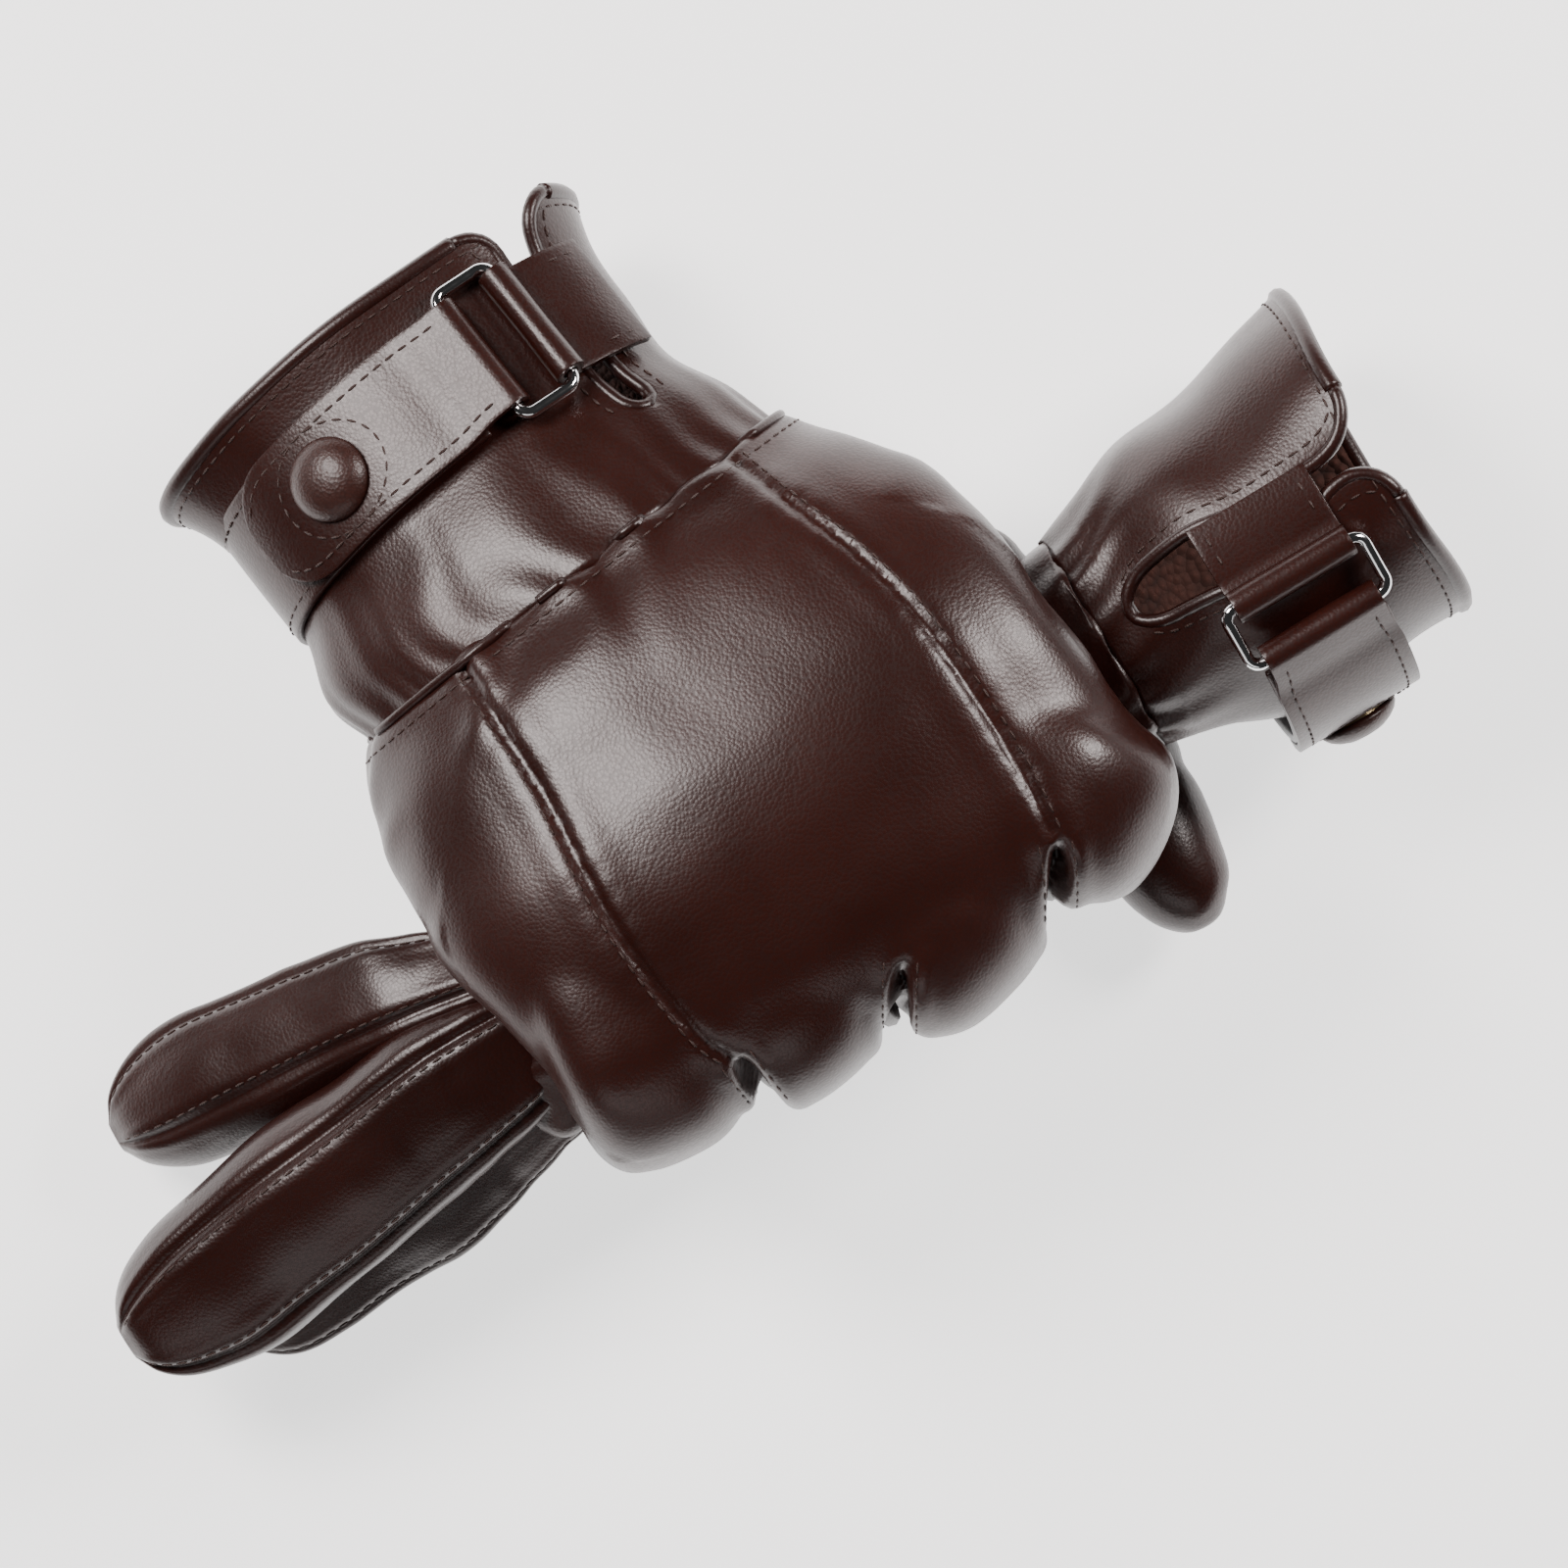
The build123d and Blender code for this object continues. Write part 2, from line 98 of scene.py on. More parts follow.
def newMaterial(name):
    mat = bpy.data.materials.new(name)
    mat.use_nodes = True
    mat.node_tree.nodes.clear()
    return mat


def surface(mat, **inputs):
    named = {key.replace("_", " "): value for key, value in inputs.items()}
    shader = node(mat, "ShaderNodeBsdfPrincipled", {}, named)
    node(mat, "ShaderNodeOutputMaterial", {}, {0: shader})
    return mat


def bump(mat, height, strength, distance, under=None):
    return node(mat, "ShaderNodeBump", {}, {"Strength": strength, "Distance": distance, "Height": height,
                                          "Normal": under})


def noiseOf(mat, place, scale, detail):
    return node(mat, "ShaderNodeTexNoise", {}, {"Vector": place, "Scale": scale, "Detail": detail})


def leatherMaterial(name, s):
    mat = newMaterial(name)
    place = node(mat, "ShaderNodeTexCoord", out=3)
    cloud = noiseOf(mat, place, 38, 4)
    fine = noiseOf(mat, place, 520, 2)
    # pebbled grain: small cells with soft valleys between them
    cells = node(mat, "ShaderNodeTexVoronoi", {"feature": "F1"},
                 {"Vector": place, "Scale": s["grain"]})
    valley = ramp(mat, cells, 0.25, 0.75)
    grain = 1.0 - valley
    colour = mixColour(mat, ramp(mat, cloud, 0.3, 0.7), s["dark"], s["light"])
    colour = mixColour(mat, valley * 0.35, colour, s["valley"])
    creased = bump(mat, noiseOf(mat, place, 95, 3), s["crease"], 0.0016)
    pebble = bump(mat, grain + fine * 0.12, s["bump"], 0.00022, creased)
    rough = ramp(mat, cloud + valley * 0.4, 0.3, 1.1, s["rough"] - 0.04, s["rough"] + 0.07)
    return surface(mat, Base_Color=colour, Roughness=rough, Coat_Weight=s["coat"],
                   Coat_Roughness=0.3, Normal=pebble)


leather = leatherMaterial("brown leather", {
    "dark": (0.021, 0.0042, 0.0025), "light": (0.032, 0.0065, 0.0040), "valley": (0.009, 0.0021, 0.0014),
    "grain": 1700, "bump": 0.09, "crease": 0.004, "rough": 0.31, "coat": 0.04})
# the same leather made darker, as painted shade for the gussets deep in the slits
shadedGussetLeather = leatherMaterial("gusset leather", {
    "dark": (0.011, 0.0026, 0.0017), "light": (0.016, 0.0040, 0.0026), "valley": (0.006, 0.0016, 0.0011),
    "grain": 1700, "bump": 0.09, "crease": 0.004, "rough": 0.38, "coat": 0.05})
edgeLeather = leatherMaterial("binding leather", {
    "dark": (0.018, 0.0037, 0.0023), "light": (0.027, 0.0056, 0.0036), "valley": (0.008, 0.0019, 0.0013),
    "grain": 1900, "bump": 0.08, "crease": 0.004, "rough": 0.32, "coat": 0.10})


def threadMaterial():
    mat = newMaterial("brown thread")
    place = node(mat, "ShaderNodeTexCoord", out=3)
    twist = node(mat, "ShaderNodeTexWave", {}, {"Vector": place, "Scale": 900, "Distortion": 2.0})
    colour = mixColour(mat, twist, (0.018, 0.0065, 0.0048), (0.050, 0.020, 0.014))
    return surface(mat, Base_Color=colour, Roughness=0.55, Normal=bump(mat, twist, 0.4, 0.0002))


def plushMaterial():
    mat = newMaterial("brown plush")
    place = node(mat, "ShaderNodeTexCoord", out=3)
    tufts = node(mat, "ShaderNodeTexVoronoi", {}, {"Vector": place, "Scale": 620})
    patches = noiseOf(mat, place, 130, 3)
    colour = mixColour(mat, tufts, (0.075, 0.022, 0.014), (0.014, 0.005, 0.0035))
    colour = mixColour(mat, ramp(mat, patches, 0.35, 0.7), colour, (0.05, 0.017, 0.011))
    height = 1.0 - tufts + patches * 0.6
    return surface(mat, Base_Color=colour, Roughness=0.92, Normal=bump(mat, height, 0.9, 0.0012))


def chromeMaterial():
    mat = newMaterial("polished chrome")
    place = node(mat, "ShaderNodeTexCoord", out=3)
    wear = noiseOf(mat, place, 260, 3)
    return surface(mat, Base_Color=(0.82, 0.82, 0.83), Metallic=1.0,
                   Roughness=ramp(mat, wear, 0.3, 0.8, 0.06, 0.16))


def capMaterial():
    mat = newMaterial("brown snap")
    place = node(mat, "ShaderNodeTexCoord", out=3)
    fine = node(mat, "ShaderNodeTexVoronoi", {"feature": "F1"}, {"Vector": place, "Scale": 1900})
    colour = mixColour(mat, fine, (0.040, 0.0105, 0.0068), (0.022, 0.0060, 0.0040))
    return surface(mat, Base_Color=colour, Roughness=0.40, Coat_Weight=0.10, Coat_Roughness=0.3,
                   Normal=bump(mat, fine, 0.35, 0.00015))


def brassMaterial():
    mat = newMaterial("satin brass")
    place = node(mat, "ShaderNodeTexCoord", out=3)
    wear = noiseOf(mat, place, 700, 3)
    return surface(mat, Base_Color=mixColour(mat, wear, (0.50, 0.38, 0.20), (0.62, 0.50, 0.30)),
                   Metallic=1.0, Roughness=ramp(mat, wear, 0.3, 0.8, 0.24, 0.38))


thread, plush, chrome, snapPaint = threadMaterial(), plushMaterial(), chromeMaterial(), capMaterial()
brass = brassMaterial()


def spline(knots, rows, x):
    # smooth curve through rows at the knots
    slope = np.gradient(rows, knots, axis=0)
    i = np.clip(np.searchsorted(knots, x) - 1, 0, len(knots) - 2)
    h = (knots[i + 1] - knots[i])[:, None]
    q = np.clip((x - knots[i])[:, None] / h, 0, 1)
    return ((2 * q ** 3 - 3 * q ** 2 + 1) * rows[i] + (q ** 3 - 2 * q ** 2 + q) * h * slope[i]
            + (3 * q ** 2 - 2 * q ** 3) * rows[i + 1] + (q ** 3 - q ** 2) * h * slope[i + 1])


def unit(v):
    return v / np.maximum(np.linalg.norm(v, axis=-1, keepdims=True), 1e-9)


class Tube:
    # a tube through stations: (distance, centre, sideways, upward, half width, half height)
    def __init__(self, stations, square=2.0):
        self.knots = np.array([s[0] for s in stations], float)
        self.rows = np.array([[*s[1], *s[2], *s[3], s[4], s[5]] for s in stations], float)
        self.square = square

    def at(self, s, angle, lift=0.0):
        s, angle = np.atleast_1d(s).astype(float), np.radians(np.atleast_1d(angle).astype(float))
        r = spline(self.knots, self.rows, s)
        side, top = unit(r[:, 3:6]), unit(r[:, 6:9])
        a, b = r[:, 9], r[:, 10]
        c, q = np.cos(angle), np.sin(angle)
        power = 2 / self.square
        c, q = np.sign(c) * abs(c) ** power, np.sign(q) * abs(q) ** power
        out = unit(np.stack([np.sign(c) * abs(c) ** (self.square - 1) / a,
                             np.sign(q) * abs(q) ** (self.square - 1) / b], 1))
        x, y = a * c + out[:, 0] * lift, b * q + out[:, 1] * lift
        return r[:, :3] + side * x[:, None] + top * y[:, None]

    def normal(self, s, angle):
        return unit(self.at(s, angle, 1.0) - self.at(s, angle, 0.0))


def gridSkin(name, across, along, place, caps=False):
    # a grid bent into shape; place(u, v) gives points in millimetres
    bm = bmesh.new()
    bmesh.ops.create_grid(bm, x_segments=across, y_segments=along, size=1)
    bm.verts.ensure_lookup_table()
    flat = np.array([v.co for v in bm.verts])
    points = place((flat[:, 0] + 1) / 2, (flat[:, 1] + 1) / 2)
    for v, p in zip(bm.verts, points):
        v.co = Vector(p) * mm
    bmesh.ops.remove_doubles(bm, verts=bm.verts, dist=2e-6)
    if caps:
        bmesh.ops.holes_fill(bm, edges=bm.edges, sides=0)
    bmesh.ops.recalc_face_normals(bm, faces=bm.faces)
    return toObject(name, bm)


def toObject(name, bm):
    name = name.replace(" ", "_")
    mesh = bpy.data.meshes.new(name)
    bm.to_mesh(mesh)
    bm.free()
    made = bpy.data.objects.new(name, mesh)
    bpy.context.scene.collection.objects.link(made)
    return made


def applied(obj):
    bpy.context.view_layer.update()
    graph = bpy.context.evaluated_depsgraph_get()
    mesh = bpy.data.meshes.new_from_object(obj.evaluated_get(graph))
    obj.modifiers.clear()
    obj.data = mesh
    return obj


def thicken(obj, thick, inward=True, edge=0):
    mod = obj.modifiers.new("thickness", "SOLIDIFY")
    mod.thickness = thick * mm
    mod.offset = -1 if inward else 0
    mod.use_even_offset = False
    if edge:
        soft = obj.modifiers.new("soft edge", "BEVEL")
        soft.width = edge * mm
        soft.segments = 2
        soft.limit_method = "ANGLE"
        soft.angle_limit = math.radians(50)
    return applied(obj)


def finish(obj, mat, body, slotName, *nodes):
    obj.data.materials.clear()
    obj.data.materials.append(mat)
    obj.data.polygons.foreach_set("use_smooth", [True] * len(obj.data.polygons))
    obj.data.update()
    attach(obj, body)
    if nodes:
        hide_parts(*nodes)
    return obj


def resample(points, pitch):
    points = np.asarray(points, float)
    run = np.concatenate([[0], np.cumsum(np.linalg.norm(np.diff(points, axis=0), axis=1))])
    count = max(int(run[-1] / pitch), 2)
    want = np.linspace(0, run[-1], count + 1)
    return np.stack([np.interp(want, run, points[:, k]) for k in range(3)], 1)


def stitchRow(bm, points, outward, s):
    # short threads laid end to end along a line
    if len(points) < 4:
        print("a stitch line misses the leather")
        return
    spots = resample(points, s["pitch"])
    tree = KDTree(len(points))
    for k, p in enumerate(points):
        tree.insert(p, k)
    tree.balance()
    for a, b in zip(spots[:-1], spots[1:]):
        middle, along = Vector((a + b) / 2), Vector(b - a)
        if along.length < 0.5:
            continue
        k = tree.find(middle)[1]
        z = Vector(outward[k]).normalized()
        x = along.normalized()
        y = z.cross(x).normalized()
        z = x.cross(y)
        middle += z * s["lift"]
        turn = Matrix((x, y, z)).transposed().to_4x4()
        size = Matrix.Diagonal((s["length"] / 2, s["radius"], s["radius"] * 0.8, 1))
        bmesh.ops.create_uvsphere(bm, u_segments=8, v_segments=5, radius=mm,
                                  matrix=Matrix.Translation(middle * mm) @ turn @ size)


stitch = {"pitch": 2.5, "length": 1.9, "radius": 0.22, "lift": 0.07}


def cordOf(name, points, radius, closed=False, sides=10):
    # a round edge piping along a line
    points = np.asarray(points, float)
    if closed:
        points = points[:-1]
    n = len(points)
    ahead = np.roll(points, -1, 0) - np.roll(points, 1, 0)
    if not closed:
        ahead[0], ahead[-1] = points[1] - points[0], points[-1] - points[-2]
    ahead = unit(ahead)
    ref = np.tile(np.array([[0.31, 0.52, 0.79]]), (n, 1))
    side = unit(np.cross(ahead, ref))
    for k in range(1, n):  # keep the frame from spinning
        s = side[k - 1] - ahead[k] * np.dot(side[k - 1], ahead[k])
        side[k] = s / max(np.linalg.norm(s), 1e-9)
    top = np.cross(ahead, side)

    def place(u, v):
        x = v * (n if closed else n - 1)
        i = np.floor(x).astype(int)
        f = (x - i)[:, None]
        j = i % n if closed else np.minimum(i, n - 1)
        k = (i + 1) % n if closed else np.minimum(i + 1, n - 1)
        c = points[j] * (1 - f) + points[k] * f
        sd, tp = side[j], top[j]
        a = u * 2 * np.pi
        return c + sd * (np.cos(a) * radius)[:, None] + tp * (np.sin(a) * radius)[:, None]

    return gridSkin(name, sides, n if closed else n - 1, place, caps=not closed)


def wobble(points, scale, amount, seed=0.0):
    # slow uneven swelling, one number per point
    return np.array([noise.noise(Vector(p) / scale + Vector((seed, 3.1, 7.7))) for p in points]) * amount


# the right glove is closed in a fist
wristX, wristY = 8.8, 23.1  # where the middle of the wrist seam is


def handRow(u, v, z, a, b, skew=0.0):
    # u from the wrist seam to the knuckles, v towards the index finger
    return (v + wristX, wristY - u, z), (1, -skew, 0), up, a, b


def spaced(rows):
    run, out = 0.0, []
    for k, r in enumerate(rows):
        if k:
            run += max(math.dist(r[0], rows[k - 1][0]) + abs(r[3] - rows[k - 1][3])
                       + abs(r[4] - rows[k - 1][4]), 0.5)
        out.append((run, *r))
    return out


def wholeTube(name, tube, sides, rings):
    end = tube.knots[-1]
    return gridSkin(name, sides, rings, lambda u, v: tube.at(v * end, u * 360), caps=True)


fistParts = []
palmTube = Tube(spaced([
    handRow(86.5, 2.5, 60, 38, 5, 0.13), handRow(83.4, 2.4, 60.8, 46.5, 10, 0.13),
    handRow(77.5, 2.3, 62.3, 51.6, 14.2, 0.10), handRow(70, 2.3, 63.6, 53.2, 16, 0.05),
    handRow(60, 2.4, 64.3, 53.4, 16.4), handRow(50, 1.9, 64.2, 54.0, 16.8),
    handRow(38, 1.4, 62, 54.8, 17.6), handRow(25, 2.2, 55.5, 53.6, 20),
    handRow(12, 0.7, 48, 49.4, 22), handRow(4, -0.4, 43, 44.8, 22.3),
    handRow(0, 0, 41.3, 41.6, 22), handRow(-0.5, 0, 41.2, 39.6, 20.4), handRow(2, 0.1, 42, 38.8, 19.4),
    handRow(12, 1.2, 48, 44.6, 19), handRow(25, 2.4, 55.5, 49, 17), handRow(36, 2.4, 60.5, 49, 14),
    handRow(46, 2.4, 62, 47, 11), handRow(50, 2.4, 62, 38, 7),
]), 2.25)
fistParts.append(wholeTube("hand", palmTube, 96, 150))


# how a finger runs: distance back from the knuckle, height, turn, width factor, half thickness
fingerRun = [
    (34, 64, 2, 0.72, 7), (28, 65, 4, 0.86, 10), (16, 65.6, 9, 0.96, 12), (6, 64.6, 24, 1, 12.8),
    (1.5, 61, 48, 1, 12.9), (0, 55, 72, 0.98, 12.6), (0.2, 46, 86, 0.94, 12), (0.8, 36, 93, 0.9, 11.2),
    (2.5, 26, 106, 0.88, 10.6), (7, 17, 132, 0.86, 10.4), (14, 11.6, 165, 0.82, 10.3),
    (23, 10.6, 180, 0.78, 9.9), (33, 10.4, 180, 0.76, 9.4), (40, 10.4, 180, 0.70, 8.6),
    (44.5, 10.5, 180, 0.52, 6.6), (47, 10.6, 180, 0.22, 3),
]
curlBack, curlUnder, underWide = 34.0, 30, 0.82  # way to the tip, height of the turn, width there


def curl(x, y, tipX, wide, tipWide):
    # over the knuckle, down, and back under the held glove
    away = np.array([tipX - x, curlBack])
    away /= np.linalg.norm(away)
    side = (away[1], -away[0], 0)
    rows = []
    for d, z, turn, w, t in fingerRun:
        c, q = math.cos(math.radians(turn)), math.sin(math.radians(turn))
        place = (x + away[0] * d, y + away[1] * d, z)
        top = (-away[0] * q, -away[1] * q, c)
        half = wide * w if z > curlUnder else tipWide * w / underWide
        rows.append((place, side, top, half, t))
    return Tube(spaced(rows), 2.7)


fingerTubes = {
    "little": curl(-30.6, -48.4, -24, 13.2, 9.4),
    "ring": curl(-6.2, -54.6, -5, 12.2, 9.4),
    "middle": curl(19.8, -60.3, 14.5, 15.0, 9.4),
    "index": curl(50.6, -57.2, 33.5, 14.6, 9.4),
}
for name, tube in fingerTubes.items():
    fistParts.append(wholeTube(name, tube, 44, 120))

thumbTube = Tube(spaced([
    ((34, 18, 42), (0.5, 0.6, 0.6), (0.6, -0.2, 0.7), 12, 12),
    ((41, 9, 34), (0.8, 0.3, 0.4), (0.6, -0.2, 0.7), 15, 14.5),
    ((51, -4, 21.5), (0.9, 0.2, 0.3), (0.3, 0.3, 0.9), 13.0, 12),
    ((59, -22, 13.5), (1, 0.1, 0), (0, 0.2, 1), 11, 10.6),
    ((59.8, -44, 11.4), (1, 0, 0), up, 10.6, 10.2),
    ((57.4, -63, 12), (1, -0.15, 0), (0.1, 0, 1), 10.2, 10),
    ((55.2, -74.5, 12.6), (1, -0.2, 0), (0.1, 0, 1), 9.2, 9),
    ((54.2, -81.2, 12.4), (1, -0.2, 0), (0.1, 0, 1), 6.6, 7),
    ((53.8, -84.8, 12.2), (1, -0.2, 0), (0.1, 0, 1), 2.8, 3.4),
]), 2.1)
fistParts.append(wholeTube("thumb", thumbTube, 40, 90))
print("fist parts made")


def joined(name, objs):
    bm = bmesh.new()
    for o in objs:
        bm.from_mesh(o.data)
        bpy.data.objects.remove(o)
    return toObject(name, bm)


def remeshed(obj, voxel, rounds):
    mod = obj.modifiers.new("one skin", "REMESH")
    mod.mode = "VOXEL"
    mod.voxel_size = voxel * mm
    applied(obj)
    bm = bmesh.new()
    bm.from_mesh(obj.data)
    for _ in range(rounds):
        bmesh.ops.smooth_vert(bm, verts=bm.verts, factor=0.5, use_axis_x=True, use_axis_y=True,
                              use_axis_z=True)
    bm.to_mesh(obj.data)
    bm.free()
    return obj


fistSkin = {"voxel": 0.97, "rounds": 12}
fist = remeshed(joined("right glove", fistParts), fistSkin["voxel"], fistSkin["rounds"])
print("fist skin", len(fist.data.polygons))


def vertsOf(obj):
    co = np.empty(len(obj.data.vertices) * 3)
    obj.data.vertices.foreach_get("co", co)
    return co.reshape(-1, 3) / mm


def setVerts(obj, co):
    obj.data.vertices.foreach_set("co", (co * mm).ravel())
    obj.data.update()


def vertNormals(obj):
    out = np.empty(len(obj.data.vertices) * 3)
    obj.data.vertex_normals.foreach_get("vector", out)
    return out.reshape(-1, 3)


def treeOf(obj):
    bm = bmesh.new()
    bm.from_mesh(obj.data)
    made = BVHTree.FromBMesh(bm)
    bm.free()
    return made


seamStep = 0.7


def overHand(tree, line):
    # a seam drawn on the back of the hand as (u, v), dropped onto the leather
    line = np.array(line, float)
    run = np.concatenate([[0], np.cumsum(np.linalg.norm(np.diff(line, axis=0), axis=1))])
    flat = spline(run, line, np.arange(0, run[-1], seamStep))
    points, normals = [], []
    for u, v in flat:
        hit, normal, _, _ = tree.ray_cast(Vector((v + wristX, wristY - u, 130)) * mm, Vector((0, 0, -1)))
        if hit is not None:
            points.append(hit / mm)
            normals.append(normal)
    return np.array(points), np.array(normals)


def aroundWrist(tree, y, centreZ):
    points, normals = [], []
    for angle in np.arange(0, 361.2, 1.2):
        way = Vector((math.cos(math.radians(angle)), 0, math.sin(math.radians(angle))))
        start = Vector((wristX, y, centreZ)) * mm + way * 0.2
        hit, normal, _, _ = tree.ray_cast(start, -way)
        if hit is not None:
            points.append(hit / mm)
            normals.append(normal)
    return np.array(points), np.array(normals)


seamLines = {
    "little": [(1.7, -21.7), (12, -22.6), (24.8, -24), (38, -26.6), (47.5, -28), (63, -28.6),
               (71, -28), (76, -26)],
    "index": [(1.7, 32), (12, 34), (24, 37), (38.8, 38.7), (50, 38.2), (58, 37.5), (69, 36),
              (79, 33.6)],
}
fistTree = treeOf(fist)
seams = {k: overHand(fistTree, line) for k, line in seamLines.items()}


def nearSeam(co, points):
    # distance to a seam and the run along it
    tree = KDTree(len(points))
    for k, p in enumerate(points):
        tree.insert(p, k)
    tree.balance()
    found = [tree.find(p)[1:] for p in co]
    return np.array([f[1] for f in found]), np.array([f[0] for f in found]) * seamStep


def pressSeam(co, normals, points, s):
    lo, hi = points.min(0) - s["reach"], points.max(0) + s["reach"]
    inside = np.where(((co > lo) & (co < hi)).all(1))[0]
    distance, run = nearSeam(co[inside], points)
    groove = -s["depth"] * np.exp(-(distance / s["width"]) ** 2)
    puff = s["puff"] * np.exp(-((distance - s["puffAt"]) / s["puffWide"]) ** 2)
    pucker = s["pucker"] * np.sin(run * 2 * np.pi / s["pitch"]) * np.exp(-(distance / s["puckerWide"]) ** 2)
    co[inside] += normals[inside] * (groove + puff + pucker)[:, None]


seamPress = {"depth": 0.8, "width": 0.8, "puff": 0.3, "puffAt": 3.0, "puffWide": 2.8,
             "pucker": 0.05, "puckerWide": 3.4, "pitch": 4.3, "reach": 9}
slitLines = [[(75, -26.2), (80, -26.4), (86, -26.6), (93, -27)],
             [(79, 3.4), (84, -0.8), (89, -4.4), (97, -5)],
             [(79.5, 33.4), (84, 31), (91, 26.2), (99, 26)]]
co, normals = vertsOf(fist), vertNormals(fist)
for points, _ in seams.values():
    pressSeam(co, normals, points, seamPress)
# slits between the fingers, cut in from the knuckles
slitPress = {"depth": 5.5, "width": 1.15, "puff": 0.5, "puffAt": 3.4, "puffWide": 1.6, "fadeIn": 4,
             "fadeFrom": 38, "fadeOver": 12, "reach": 12, "above": 36, "beyond": -48}
for line in slitLines:
    s = slitPress
    flat = spline(np.arange(4.0), np.array(line, float), np.linspace(0, 3, 60))
    near = np.where((abs(co[:, 0] - wristX - line[1][1]) < s["reach"]) & (co[:, 2] > s["above"])
                    & (co[:, 1] < s["beyond"]))[0]
    uv = np.stack([wristY - co[near, 1], co[near, 0] - wristX], 1)
    off = np.linalg.norm(uv[:, None] - flat[None], axis=2).min(1)
    fade = np.clip((uv[:, 0] - line[0][0]) / s["fadeIn"], 0, 1)
    fade *= np.clip((co[near, 2] - s["fadeFrom"]) / s["fadeOver"], 0, 1)
    cut = -s["depth"] * np.exp(-(off / s["width"]) ** 2)
    cut += s["puff"] * np.exp(-((off - s["puffAt"]) / s["puffWide"]) ** 2)
    co[near] += normals[near] * (cut * fade)[:, None]
# soft unevenness of stuffed leather, and gathers that fade away from the wrist seam
fistSoft = {"gather": 0.55, "gatherOver": 7.5, "gatherPitch": 2.6, "swell": 1.4, "fineSwell": 0.22,
            "fold": 0.32, "foldPitch": 3.1, "foldBelow": 66, "littleSide": -34, "thumbSide": 52}
u = wristY - co[:, 1]
gather = np.exp(-np.abs(u - 1) / fistSoft["gatherOver"]) * fistSoft["gather"]
run = np.arctan2(co[:, 2] - 41, (co[:, 0] - wristX)) * 30
ripple = np.sin(run / fistSoft["gatherPitch"] + wobble(co, 16, 5.0)) * gather * (u > -1)
swell = wobble(co, 30, fistSoft["swell"]) + wobble(co, 13, fistSoft["fineSwell"], 5)
# cross folds on the little finger's side and around the thumb
side = np.clip((fistSoft["littleSide"] - co[:, 0]) / 8, 0, 1)
side += np.clip((co[:, 0] - fistSoft["thumbSide"]) / 10, 0, 1)
folds = np.sin(co[:, 1] / fistSoft["foldPitch"] + wobble(co, 14, 4.0, 2)) * fistSoft["fold"] * side
folds *= co[:, 2] < fistSoft["foldBelow"]
co += normals * (ripple + swell + folds)[:, None]
setVerts(fist, co)
fistTree = treeOf(fist)
finish(fist, leather, "gloves", "leather", "right_back_panel", "right_little_side_panel",
       "right_index_side_panel", "right_palm_panel", "right_little_finger", "right_ring_finger",
       "right_middle_finger", "right_index_finger", "right_index_touch_tip", "right_thumb",
       "right_thumb_touch_tip", "right_finger_lining")
print("fist leather shaped")


def lapped(line, offset):
    # the same line moved sideways on the back of the hand
    line = np.array(line, float)
    way = unit(np.gradient(line, axis=0))
    return line + np.stack([-way[:, 1], way[:, 0]], 1) * offset


bm = bmesh.new()
seamRow, slitRow = 1.5, 2.6  # how far the stitches stand from a seam and from a slit
for key, shift in (("little", -seamRow), ("index", seamRow)):
    stitchRow(bm, *overHand(fistTree, lapped(seamLines[key], shift)), stitch)
for line in slitLines:
    for shift in (-slitRow, slitRow):
        stitchRow(bm, *overHand(fistTree, lapped(line[:3], shift)), stitch)
finish(toObject("right glove stitches", bm), thread, "gloves", "leather")
# the wrist seam: a thin welt with a row of threads beside it
welt, weltOut = aroundWrist(fistTree, 22.6, 41)
welt = sum(np.roll(welt[:-1], k, 0) for k in range(-4, 5)) / 9
welt = np.vstack([welt, welt[:1]])
weltRoll = cordOf("right wrist welt", welt + weltOut * 0.3, 0.8, closed=True)
finish(weltRoll, edgeLeather, "gloves", "leather")
bm = bmesh.new()
stitchRow(bm, *aroundWrist(fistTree, 20.4, 42), stitch)
finish(toObject("right wrist stitches", bm), thread, "gloves", "leather")
print("seams stitched")

# gussets deep in the slits between the knuckles, in a darker copy of the leather that paints the shade in
# the slits
gussetSize = {"half": 2.6, "sunk": 3.2}
gussets = []
for x, y, tipX in ((-18.6, -50.2, -14), (5.2, -55.0, 5), (35.0, -55.6, 24)):
    tube = curl(x, y, tipX, gussetSize["half"], gussetSize["half"])
    tube.rows[:, 10] -= gussetSize["sunk"]
    gussets.append(wholeTube("gusset", tube, 16, 70))
gusset = joined("right gussets", gussets)
finish(gusset, shadedGussetLeather, "gloves", "leather", "right_fourchettes")


